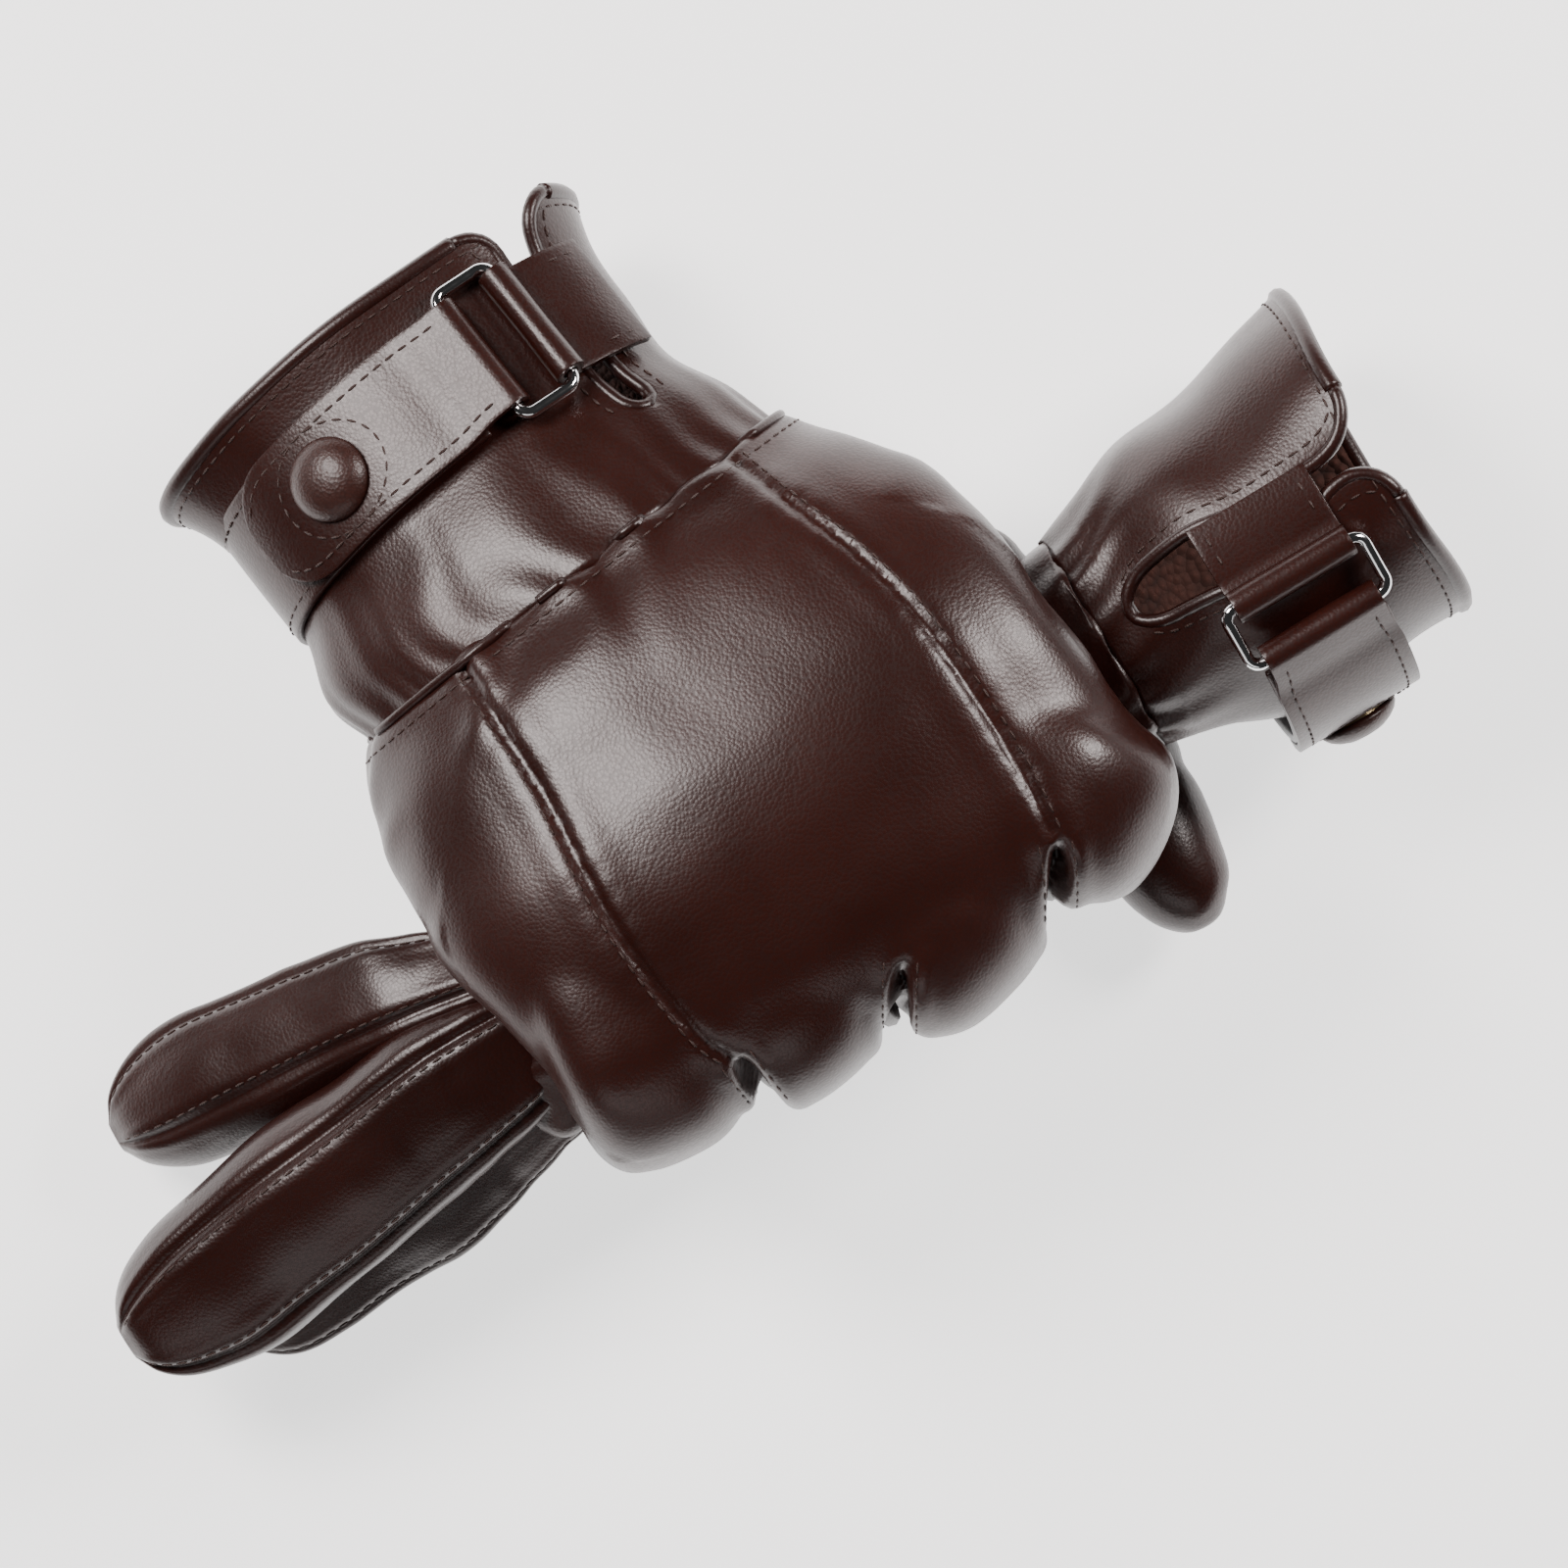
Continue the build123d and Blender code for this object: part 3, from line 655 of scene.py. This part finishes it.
class Cuff:
    def __init__(self, tube, s):
        self.tube, self.s = tube, s

    def halfGap(self, run):
        # half the vent's width: nothing, then a round end, then a slot that opens to the mouth
        s = self.s
        into = run - s["ventEnd"]
        rounded = s["ventHalf"] * np.sqrt(np.clip(1 - (1 - np.clip(into / s["ventHalf"], 0, 1)) ** 2, 0, 1))
        splay = s["splay"] * np.clip((into - s["splayFrom"]) / s["splayOver"], 0, 1) ** 1.6
        corner = np.clip((run - s["mouth"] + s["cutBack"] + s["corner"]) / s["corner"], 0, 0.999)
        trim = s["corner"] * (1 - np.sqrt(1 - corner ** 2))
        return np.where(into > 0, rounded + splay + trim, 0.0)

    def mouthAt(self, angle):
        off = (np.asarray(angle) - self.s["vent"] + 180) % 360 - 180
        return self.s["mouth"] - self.s["cutBack"] * np.exp(-(off / self.s["cutSpread"]) ** 2)

    def shape(self, run, angle, lift):
        off = (angle - self.s["vent"] + 180) % 360 - 180
        mouthward = np.clip((run - self.s["flareFrom"]) / (self.s["mouth"] - self.s["flareFrom"]), 0, 1)
        flare = np.where(off > 0, self.s["flareUp"], self.s["flareDown"])
        curlUp = flare * mouthward ** 2 * np.exp(-(off / self.s["flareSpread"]) ** 2)
        base = self.tube.at(run, angle, lift + curlUp)
        gathers = np.exp(-run / 9.0) * self.s["gather"]
        ripples = np.sin(np.radians(angle) * self.s["ripples"] + wobble(base, 15, 4.0)) * gathers
        soft = wobble(base, 17, self.s["soft"], 9)
        return base + self.tube.normal(run, angle) * (ripples + soft)[:, None]

    def place(self, u, v, lift, inset=0.0, start=0.0):
        # u goes round from one side of the vent to the other, v from the wrist to the mouth
        rough = self.s["vent"] + u * 360
        run = start + v ** 0.9 * (self.mouthAt(rough) - inset - start)
        radius = self.s["ventRadius"]
        gap = np.degrees((self.halfGap(run) + inset * (run > self.s["ventEnd"])) / radius)
        angle = self.s["vent"] + gap + u * (360 - 2 * gap)
        return self.shape(run, angle, lift)

    def edge(self, lift=0.0):
        # down one side of the vent, round its end and up the other side
        v = np.linspace(1, 0, 400)
        opened = v ** 0.9 * self.mouthAt(self.s["vent"]) > self.s["ventEnd"]
        left = self.place(np.zeros(400), v, lift)[opened]
        right = self.place(np.ones(400), v, lift)[opened][::-1]
        return resample(np.vstack([left, right]), 1.2)

    def mouthLine(self, lift=0.0):
        return self.place(np.linspace(0, 1, 260), np.ones(260), lift)


tilt = math.radians(15)
lean = (0, math.sin(tilt), math.cos(tilt))


def rightStation(d, a, b, shift=0.0):
    # d from the strap towards the mouth
    return (6.6 + shift, 53.1 + math.cos(tilt) * d, 28.9 - math.sin(tilt) * d), (1, 0, 0), lean, a, b


rightCuffTube = Tube([
    (0, (8.8, 22.0, 41.2), (1, 0, 0), up, 41.0, 21.8),
    (9, (6.8, 31.0, 36.4), (1, 0, 0), (0, 0.14, 0.99), 41.0, 21.8),
    (18, *rightStation(-13, 37.3, 21.4)),
    (31, *rightStation(0, 37.3, 21.4)),
    (44, *rightStation(13, 38.8, 22.0, -0.6)),
    (50.5, *rightStation(19.5, 41.6, 23.2, -1.4)),
])
rightCuff = Cuff(rightCuffTube, {
    "vent": 43, "ventEnd": 12.0, "ventHalf": 2.6, "ventRadius": 30, "splay": 0.6, "splayFrom": 16,
    "splayOver": 22,
    "mouth": 50.5, "cutBack": 0.5, "cutSpread": 30, "flareFrom": 33, "flareUp": 0.6, "flareDown": 5.0,
    "flareSpread": 26, "gather": 0.35, "ripples": 26, "soft": 0.9, "corner": 5})

turned = math.radians(7.3)
cuffward = np.array([math.cos(turned), -math.sin(turned), 0])
upside = np.array([math.sin(turned), math.cos(turned), 0])


def held(along, across, z):
    place = np.array([11.5, -32.9, 0.0]) + cuffward * along + upside * across
    return (place[0], place[1], z)


def leftStation(along, across, z, a, b):
    return held(along, across, z), upside, up, a, b


leftCuffTube = Tube([
    (0, *leftStation(57, 2.5, 33.8, 18.4, 16.2)),
    (9, *leftStation(66, 3.6, 32.6, 21.8, 21)),
    (18, *leftStation(75, 3.8, 31.4, 25.6, 26.2)),
    (30, *leftStation(87, 2.6, 31, 27.8, 29.2)),
    (42, *leftStation(99, 5.2, 31, 28.0, 29.4)),
    (53.5, *leftStation(110.5, 6.8, 31, 29.4, 29.8)),
])
leftCuff = Cuff(leftCuffTube, {
    "vent": 86, "ventEnd": 6.0, "ventHalf": 6.0, "ventRadius": 28, "splay": -3.6, "splayFrom": 14,
    "splayOver": 22,
    "mouth": 53.5, "cutBack": 2.5, "cutSpread": 34, "flareFrom": 24, "flareUp": 3.6, "flareDown": 3.4,
    "flareSpread": 40, "gather": 0.5, "ripples": 15, "soft": 1.3, "corner": 7})


cuffMake = {"leather": 1.3, "plush": 1.9, "plushSunk": 1.45, "plushShort": 0.9, "hemRoll": 1.55,
            "ventRoll": 1.2, "hemRow": 0.055, "ventRow": 3.0}


def makeCuff(side, cuff, s):
    outer = gridSkin(f"{side} cuff", 150, 70, lambda u, v: cuff.place(u, v, 0))
    thicken(outer, s["leather"])
    finish(outer, leather, "gloves", "leather", f"{side}_cuff_back", f"{side}_cuff_palm",
           f"{side}_wrist_elastic")
    inner = gridSkin(f"{side} cuff lining", 150, 60,
                     lambda u, v: cuff.place(u, v, -s["plushSunk"], inset=s["plushShort"]))
    thicken(inner, s["plush"])
    finish(inner, plush, "gloves", "plush", f"{side}_cuff_lining")
    # one rolled edge runs round the mouth and down both sides of the vent
    hem = cordOf(f"{side} hem roll", cuff.mouthLine(-1.0), s["hemRoll"])
    finish(hem, edgeLeather, "gloves", "binding_leather", f"{side}_hem_binding")
    vent = cordOf(f"{side} vent roll", cuff.edge(-0.75), s["ventRoll"])
    finish(vent, edgeLeather, "gloves", "binding_leather", f"{side}_vent_binding")
    bm = bmesh.new()
    u = np.linspace(0.004, 0.996, 320)
    v = np.ones(320) - s["hemRow"]
    line = cuff.place(u, v, 0.0)
    stitchRow(bm, line, unit(cuff.place(u, v, 1.0) - line), stitch)
    v = np.linspace(1 - s["hemRow"], 0, 300)
    for edge, way in ((0.0, 1), (1.0, -1)):
        run = v ** 0.9 * cuff.mouthAt(cuff.s["vent"])
        keep = run > cuff.s["ventEnd"] + 1
        u = np.full(300, edge) + way * s["ventRow"] / (2 * np.pi * cuff.s["ventRadius"])
        line = cuff.place(u, v, 0.0)[keep]
        stitchRow(bm, line, unit(cuff.place(u, v, 1.0)[keep] - line), stitch)
    finish(toObject(f"{side} cuff stitches", bm), thread, "gloves", "leather")


makeCuff("right", rightCuff, cuffMake)
makeCuff("left", leftCuff, cuffMake)
print("cuffs made")

# a lining bag that runs from the right cuff into the hand
rightBag = Tube(spaced([
    handRow(-1.5, 0, 41.8, 36.8, 17.6), handRow(3, 0.2, 43, 37.6, 17.6), handRow(12, 1.2, 48, 43, 17.4),
    handRow(25, 2.4, 55.5, 47.4, 15.6), handRow(36, 2.4, 60.5, 46, 12), handRow(45, 2.4, 62, 36, 6),
]), 2.25)
bag = gridSkin("right hand lining", 80, 50, lambda u, v: rightBag.at(v * rightBag.knots[-1], u * 360))
thicken(bag, 0.8)
finish(bag, plush, "gloves", "lining", "right_hand_lining")


class Section:
    # the flat section of a cuff under the strap
    def __init__(self, origin, x, y, z, a, b):
        self.o, self.x, self.y, self.z = (np.array(t, float) for t in (origin, x, y, z))
        self.a, self.b = a, b

    def point(self, angle, rise):
        t = math.radians(angle)
        n = np.array([self.b * math.cos(t), self.a * math.sin(t)])
        n /= np.linalg.norm(n)
        return np.array([self.a * math.cos(t), self.b * math.sin(t)]) + n * rise, n

    def world(self, flat, across):
        flat, across = np.asarray(flat), np.asarray(across)
        return self.o + flat[:, :1] * self.x + flat[:, 1:2] * self.y + across[:, None] * self.z


def strapSkin(name, section, path, half, thick, roundEnd=False):
    # a leather strip that follows a line drawn on the section
    path = np.array(path)
    run = np.concatenate([[0], np.cumsum(np.linalg.norm(np.diff(path, axis=0), axis=1))])
    length = run[-1]

    def wide(d):
        w = np.full_like(d, half)
        if roundEnd:
            over = np.clip((d - (length - half)) / half, 0, 0.9995)
            w = half * np.sqrt(1 - over ** 2.4) - 0.7 * np.clip((17 - d) / 6, 0, 1)  # slim in the ring
        return w

    def place(u, v, lift=0.0):
        d = v * length
        flat = np.stack([np.interp(d, run, path[:, k]) for k in range(2)], 1)
        ahead = unit(np.stack([np.interp(np.minimum(d + 0.4, length), run, path[:, k])
                               - np.interp(np.maximum(d - 0.4, 0), run, path[:, k]) for k in range(2)], 1))
        out = np.stack([ahead[:, 1], -ahead[:, 0]], 1)
        return section.world(flat + out * lift, (2 * u - 1) * wide(d))

    skin = gridSkin(name, 26, max(int(length / 0.9), 12), place)
    co = vertsOf(skin)
    setVerts(skin, co + vertNormals(skin) * wobble(co, 13, 0.2, 4)[:, None])
    thicken(skin, thick, inward=False, edge=0.4)
    return skin, place, length, wide


def strapStitches(bm, place, length, wide, lift, start, end, inset=2.2):
    d = np.linspace(start, end, 160)
    for sign in (-1, 1):
        w = wide(d)
        u = (1 + sign * (w - inset) / np.maximum(w, 0.5)) / 2
        line = place(u, d / length, lift)
        stitchRow(bm, line, unit(place(u, d / length, lift * 2) - line), stitch)


gap, thick, wire, ringShort = 0.3, 1.3, 1.0, 12.4  # clearance, leather, wire, the ring's short side
strapHalf, tabHalf, snapRow = 11.1, 10.6, 9.0  # half widths, and the stitches' radius round the cap
capProfile = [(0, 3.7), (1.6, 3.62), (3.4, 3.3), (4.9, 2.65), (6.0, 1.85), (6.65, 1.0), (6.8, 0.5),
              (6.5, 0.1), (0, 0.1)]


def arc(centre, radius, start, end, count=18):
    return [centre + radius * np.array([math.cos(math.radians(t)), math.sin(math.radians(t))])
            for t in np.linspace(start, end, count)]


def makeStrap(side, section, s):
    rise = gap + thick + gap + wire
    centre, upward = section.point(s["ring"], rise)
    along = np.array([-upward[1], upward[0]])
    reach = ringShort / 2 - wire
    tongueBar, tabBar = centre + along * reach, centre - along * reach
    turn = math.degrees(math.atan2(upward[1], upward[0]))
    mid = wire + gap + 0.05 + thick / 2
    # tongue: round the bar from below, over it, down the ramp and along the cuff
    path = arc(tongueBar, mid, turn - 178, turn)
    lay = gap + thick + gap + thick / 2
    start = s["ring"] + 17
    for t in np.arange(start, s["tongueEnd"] + 0.1, 2.0):
        slope = max(0, 1 - (t - s["ring"] - 12) / 14) ** 2
        path.append(section.point(t, lay + (mid + wire * 0.6 - 0.3) * slope)[0])
    tongue, place, length, wide = strapSkin(f"{side} strap tongue", section, path, strapHalf, thick, True)
    finish(tongue, leather, f"{side}_tongue", "leather", f"{side}_strap_tongue")
    bm = bmesh.new()
    strapStitches(bm, place, length, wide, thick / 2, 9, length - 2.6)
    spot, out = section.point(s["snap"], gap + thick + gap + thick)
    capPlace = section.world(np.array([spot]), np.array([0.0]))[0]
    capUp = section.x * out[0] + section.y * out[1]
    capSide = np.cross(section.z, capUp)
    finish(toObject(f"{side} tongue stitches", bm), thread, f"{side}_tongue", "leather")
    # base, from the palm side to just short of the bar
    base = [section.point(t, gap + thick / 2)[0] for t in np.arange(s["baseEnd"], s["ring"] + 15, -2.0)]
    baseSkin, place, length, wide = strapSkin(f"{side} strap base", section, base, strapHalf, thick)
    finish(baseSkin, leather, "gloves", "leather", f"{side}_strap_base")
    bm = bmesh.new()
    strapStitches(bm, place, length, wide, -thick / 2, 2, length - 2)
    finish(toObject(f"{side} base stitches", bm), thread, "gloves", "leather")
    # tab: down onto the flap from the loop round the other bar
    tab = [section.point(t, gap + thick / 2)[0] for t in np.arange(s["tabEnd"], s["ring"] - 15, 2.0)]
    tab += arc(tabBar, mid, turn - 150, turn + 150, 26)
    tabSkin, place, length, wide = strapSkin(f"{side} ring tab", section, tab, tabHalf, thick)
    finish(tabSkin, leather, "gloves", "leather", f"{side}_ring_tab")
    bm = bmesh.new()
    strapStitches(bm, place, length, wide, thick / 2, 1.5, min(8, length * 0.4))
    finish(toObject(f"{side} tab stitches", bm), thread, "gloves", "leather")
    # snap cap: a dome on a thin rim, turned on a lathe
    bm = bmesh.new()
    verts = [bm.verts.new(Vector((r, 0, z)) * mm) for r, z in capProfile]
    edges = [bm.edges.new(pair) for pair in zip(verts, verts[1:])]
    bmesh.ops.spin(bm, geom=verts + edges, cent=(0, 0, 0), axis=up, angle=2 * math.pi, steps=48,
                   use_merge=True)
    bmesh.ops.remove_doubles(bm, verts=bm.verts, dist=1e-6)
    bmesh.ops.recalc_face_normals(bm, faces=bm.faces)
    facing = Matrix((Vector(section.z), Vector(capSide), Vector(capUp))).transposed().to_4x4()
    bmesh.ops.transform(bm, matrix=Matrix.Translation(Vector(capPlace) * mm) @ facing, verts=bm.verts)
    cap = toObject(f"{side} snap cap", bm)
    finish(cap, snapPaint, f"{side}_tongue", "snap_cap", f"{side}_snap_cap")
    # a ring of stitches round the cap
    bm = bmesh.new()
    loop, outs = [], []
    for t in np.linspace(0, 2 * math.pi, 80):
        x, y = snapRow * math.cos(t), snapRow * math.sin(t)
        spot, out = section.point(s["snap"] + math.degrees(x / s["bend"]), gap + thick + gap + thick)
        loop.append(section.world(np.array([spot]), np.array([y]))[0])
        outs.append(section.x * out[0] + section.y * out[1])
    stitchRow(bm, np.array(loop), np.array(outs), stitch)
    finish(toObject(f"{side} snap stitches", bm), thread, f"{side}_tongue", "leather")


rightSection = Section((7.3, 53.1, 28.9), (1, 0, 0), lean, (0, -math.cos(tilt), math.sin(tilt)),
                       37.5, 21.5)
leftSection = Section(held(87, 2.6, 31), upside, up, cuffward, 28.2, 29.8)
makeStrap("right", rightSection, {"ring": 64.7, "snap": 118, "tongueEnd": 150, "baseEnd": 215,
                                  "tabEnd": 24, "bend": 33})
makeStrap("left", leftSection, {"ring": 110, "snap": 188, "tongueEnd": 211, "baseEnd": 260,
                                "tabEnd": 74, "bend": 28})
print("straps made")

# the left glove: its hand is squeezed flat in the fist, and its fingers fan out
heldTube = Tube(spaced([
    leftStation(57.4, 2.5, 33.8, 18.6, 16.4), leftStation(52, 1.6, 34, 18.4, 14.4),
    leftStation(45, 0.6, 34, 17.2, 12.4), leftStation(20, 0, 34, 16.4, 11.6),
    leftStation(-20, 0, 34, 16.4, 11.6), leftStation(-42, 0, 34, 17.6, 12),
    leftStation(-50, 0, 33.6, 20, 12.6), leftStation(-56, 0, 33, 21, 11.5),
    leftStation(-60, 0, 32.4, 18, 8),
]), 2.2)
heldHand = wholeTube("left hand", heldTube, 72, 120)
co, normals = vertsOf(heldHand), vertNormals(heldHand)
around = np.arctan2(co[:, 2] - 34, (co - held(0, 0, 34))[:, :2] @ upside[:2])
squeeze = np.sin(around * 11 + wobble(co, 14, 4)) * 0.5  # lengthwise folds
setVerts(heldHand, co + normals * squeeze[:, None])
finish(heldHand, leather, "gloves", "leather", "left_palm_panel", "left_back_panel", "left_hand_lining")

# each row: along, across, z, half width, half height
leftFingers = {
    "index": [(-44, -3, 38, 8, 5), (-54, -4, 38.5, 10.5, 6.6), (-68, -5, 37.2, 12.8, 7.8),
              (-88, -7.8, 32.4, 14.2, 8.8), (-108, -10.2, 28, 14.6, 9), (-121, -11.6, 26, 13.4, 8.4),
              (-128.5, -12.2, 25.4, 10.6, 7), (-133, -12.4, 25.2, 6.8, 4.8), (-135.2, -12.4, 25, 3.0, 2.2)],
    "middle": [(-44, 8, 37, 5, 5), (-54, 9.5, 37, 8, 6.4), (-68, 12.5, 33, 10, 7.6),
               (-86, 15, 24.5, 11.6, 8.8), (-102, 16.4, 16.5, 12.2, 9), (-112, 16.8, 13, 10.8, 8),
               (-118, 16.8, 11.8, 7.4, 5.8), (-121, 16.8, 11.4, 3, 2.4)],
    "ring": [(-46, -13, 33, 4.5, 5), (-56, -15, 31, 6.5, 6.4), (-70, -17.5, 24, 8.2, 7.4),
             (-90, -19, 14.6, 9.2, 8), (-104, -19.8, 10, 9.2, 8), (-114, -20.4, 9.4, 7.4, 6.8),
             (-119, -20.6, 9.2, 4.4, 4), (-121, -20.6, 9.2, 2, 1.8)],
    "little": [(-46, -1, 28, 5, 3), (-56, -2, 25.6, 8, 4.6), (-68, -2.4, 20, 9.2, 6),
               (-80, -2.8, 13.6, 9.4, 6.6), (-88, -3, 10.6, 8, 6.2), (-93, -3, 9.6, 4.6, 4),
               (-95, -3, 9.4, 2, 1.8)],
}
rolls = {"index": 14, "middle": -26, "ring": 34, "little": 0}
seamAngles = {"index": (48, 132), "middle": (48, 128), "ring": (50, 130), "little": (50, 130)}
underSeams, seamShift = (235, 305), 9  # seams on the palm side, and the stitches' angle from a seam
fingerPress = {"depth": 0.75, "width": 0.8, "puff": 0.38, "puffAt": 2.4, "puffWide": 1.5, "soft": 1.2,
               "fold": 0.28, "foldPitch": 2.4, "foldOver": 26, "arcPerDegree": 0.17}
bm = bmesh.new()
for name, rows in leftFingers.items():
    r = math.radians(rolls[name])
    side = upside * math.cos(r) + np.array([0, 0, math.sin(r)])
    top = -upside * math.sin(r) + np.array([0, 0, math.cos(r)])
    tube = Tube(spaced([(held(a, c, z), side, top, w, h) for a, c, z, w, h in rows]), 2.35)
    end = tube.knots[-1]

    def fingerPlace(u, v, tube=tube, end=end, angles=seamAngles[name], s=fingerPress):
        run, angle = v * end, u * 360
        press = np.zeros_like(u)
        for mark in (*angles, *underSeams):
            off = np.abs((angle - mark + 180) % 360 - 180) * s["arcPerDegree"]
            press += -s["depth"] * np.exp(-(off / s["width"]) ** 2)
            press += s["puff"] * np.exp(-((off - s["puffAt"]) / s["puffWide"]) ** 2)
        fade = np.clip(v / 0.15, 0, 1) * np.clip((1 - v) / 0.06, 0, 1)
        flat = tube.at(run, angle, press * fade)
        folds = np.sin(run / s["foldPitch"] + wobble(flat, 10, 4.0)) * s["fold"]
        soft = wobble(flat, 16, s["soft"], 6) + folds * np.exp(-(run / s["foldOver"]))
        return flat + tube.normal(run, angle) * soft[:, None]

    skin = gridSkin(f"left {name} finger", 120, 110, fingerPlace, caps=True)
    nodes = [f"left_{name}_finger"]
    if name == "index":
        nodes += ["left_index_touch_tip", "left_fourchettes", "left_finger_lining"]
    finish(skin, leather, "gloves", "leather", *nodes)
    for mark, shift in zip(seamAngles[name], (seamShift, -seamShift)):
        v = np.linspace(0.14, 0.955, 160)
        u = np.full(160, (mark + shift) / 360)
        stitchRow(bm, fingerPlace(u, v), tube.normal(v * end, u * 360), stitch)
finish(toObject("left finger stitches", bm), thread, "gloves", "leather")

leftThumb = Tube(spaced([
    leftStation(30, 24.5, 18, 6, 7), leftStation(24, 26, 14.5, 8.6, 9), leftStation(12, 27.4, 12, 10, 10),
    leftStation(-6, 28, 11.2, 10.4, 10.2), leftStation(-22, 28, 11, 9.6, 9.6),
    leftStation(-29, 28, 11, 6.8, 7), leftStation(-33, 28, 11, 2.6, 2.8),
]), 2.1)
thumb = wholeTube("left thumb", leftThumb, 56, 70)
finish(thumb, leather, "gloves", "leather", "left_thumb", "left_thumb_touch_tip")
print("left glove made")

# the pieces that stay as they came: rings and snap studs
for obj in bpy.data.objects:
    for ending, mat in (("_strap_ring", chrome), ("_snap_stud", brass), ("_snap_socket", brass)):
        if obj.name.endswith(ending):
            obj.data.materials.clear()
            obj.data.materials.append(mat)

bpy.ops.mesh.primitive_plane_add(size=4, location=(0, 0, -0.0004))
floor = bpy.context.object
floor.name = "floor"
white = newMaterial("white paper")
surface(white, Base_Color=(0.92, 0.92, 0.92), Roughness=0.9, Emission_Color=(1.0, 1.0, 1.0),
        Emission_Strength=1.6)
floor.data.materials.append(white)


def softbox(name, place, aim, size, power, tint):
    lamp = bpy.data.lights.new(name, "AREA")
    lamp.shape = "RECTANGLE"
    lamp.size, lamp.size_y = size
    lamp.energy = power
    lamp.color = tint
    made = bpy.data.objects.new(name, lamp)
    bpy.context.scene.collection.objects.link(made)
    made.location = place
    made.rotation_euler = (Vector(aim) - Vector(place)).to_track_quat("-Z", "Y").to_euler()
    return made


look = math.radians(-38.5)
right = Vector((math.cos(look), math.sin(look), 0))
over = Vector((-math.sin(look), math.cos(look), 0))
centre = Vector((0.0128, -0.0241, 0))
studio = {
    # across, along and up from the middle of the gloves, size, power, tint
    "left softbox": ((-0.55, 0.35, 0.75), (0.34, 0.46), 11, (1, 0.93, 0.91)),
    "right softbox": ((0.55, 0.42, 0.58), (0.24, 0.36), 7, (1, 0.93, 0.91)),
    "low fill": ((0, -0.75, 0.5), (0.8, 0.3), 1, (1, 1, 1)),
}
lamps = [softbox(name, centre + right * x + over * y + Vector((0, 0, z)), centre, size, power, tint)
         for name, ((x, y, z), size, power, tint) in studio.items()]
world = bpy.data.worlds.new("studio")
world.use_nodes = True
world.node_tree.nodes["Background"].inputs[0].default_value = (1, 1, 1, 1)
world.node_tree.nodes["Background"].inputs[1].default_value = 0.03
bpy.context.scene.world = world

camera = bpy.data.cameras.new("camera")
camera.sensor_width = 36
camera.lens = 36 * 1.15 / 0.25
cameraObj = bpy.data.objects.new("camera", camera)
bpy.context.scene.collection.objects.link(cameraObj)
cameraObj.location = centre + right * 0.0013 + over * 0.0018 + Vector((0, 0, 1.19))
cameraObj.rotation_euler = (0, 0, look)
bpy.context.scene.camera = cameraObj
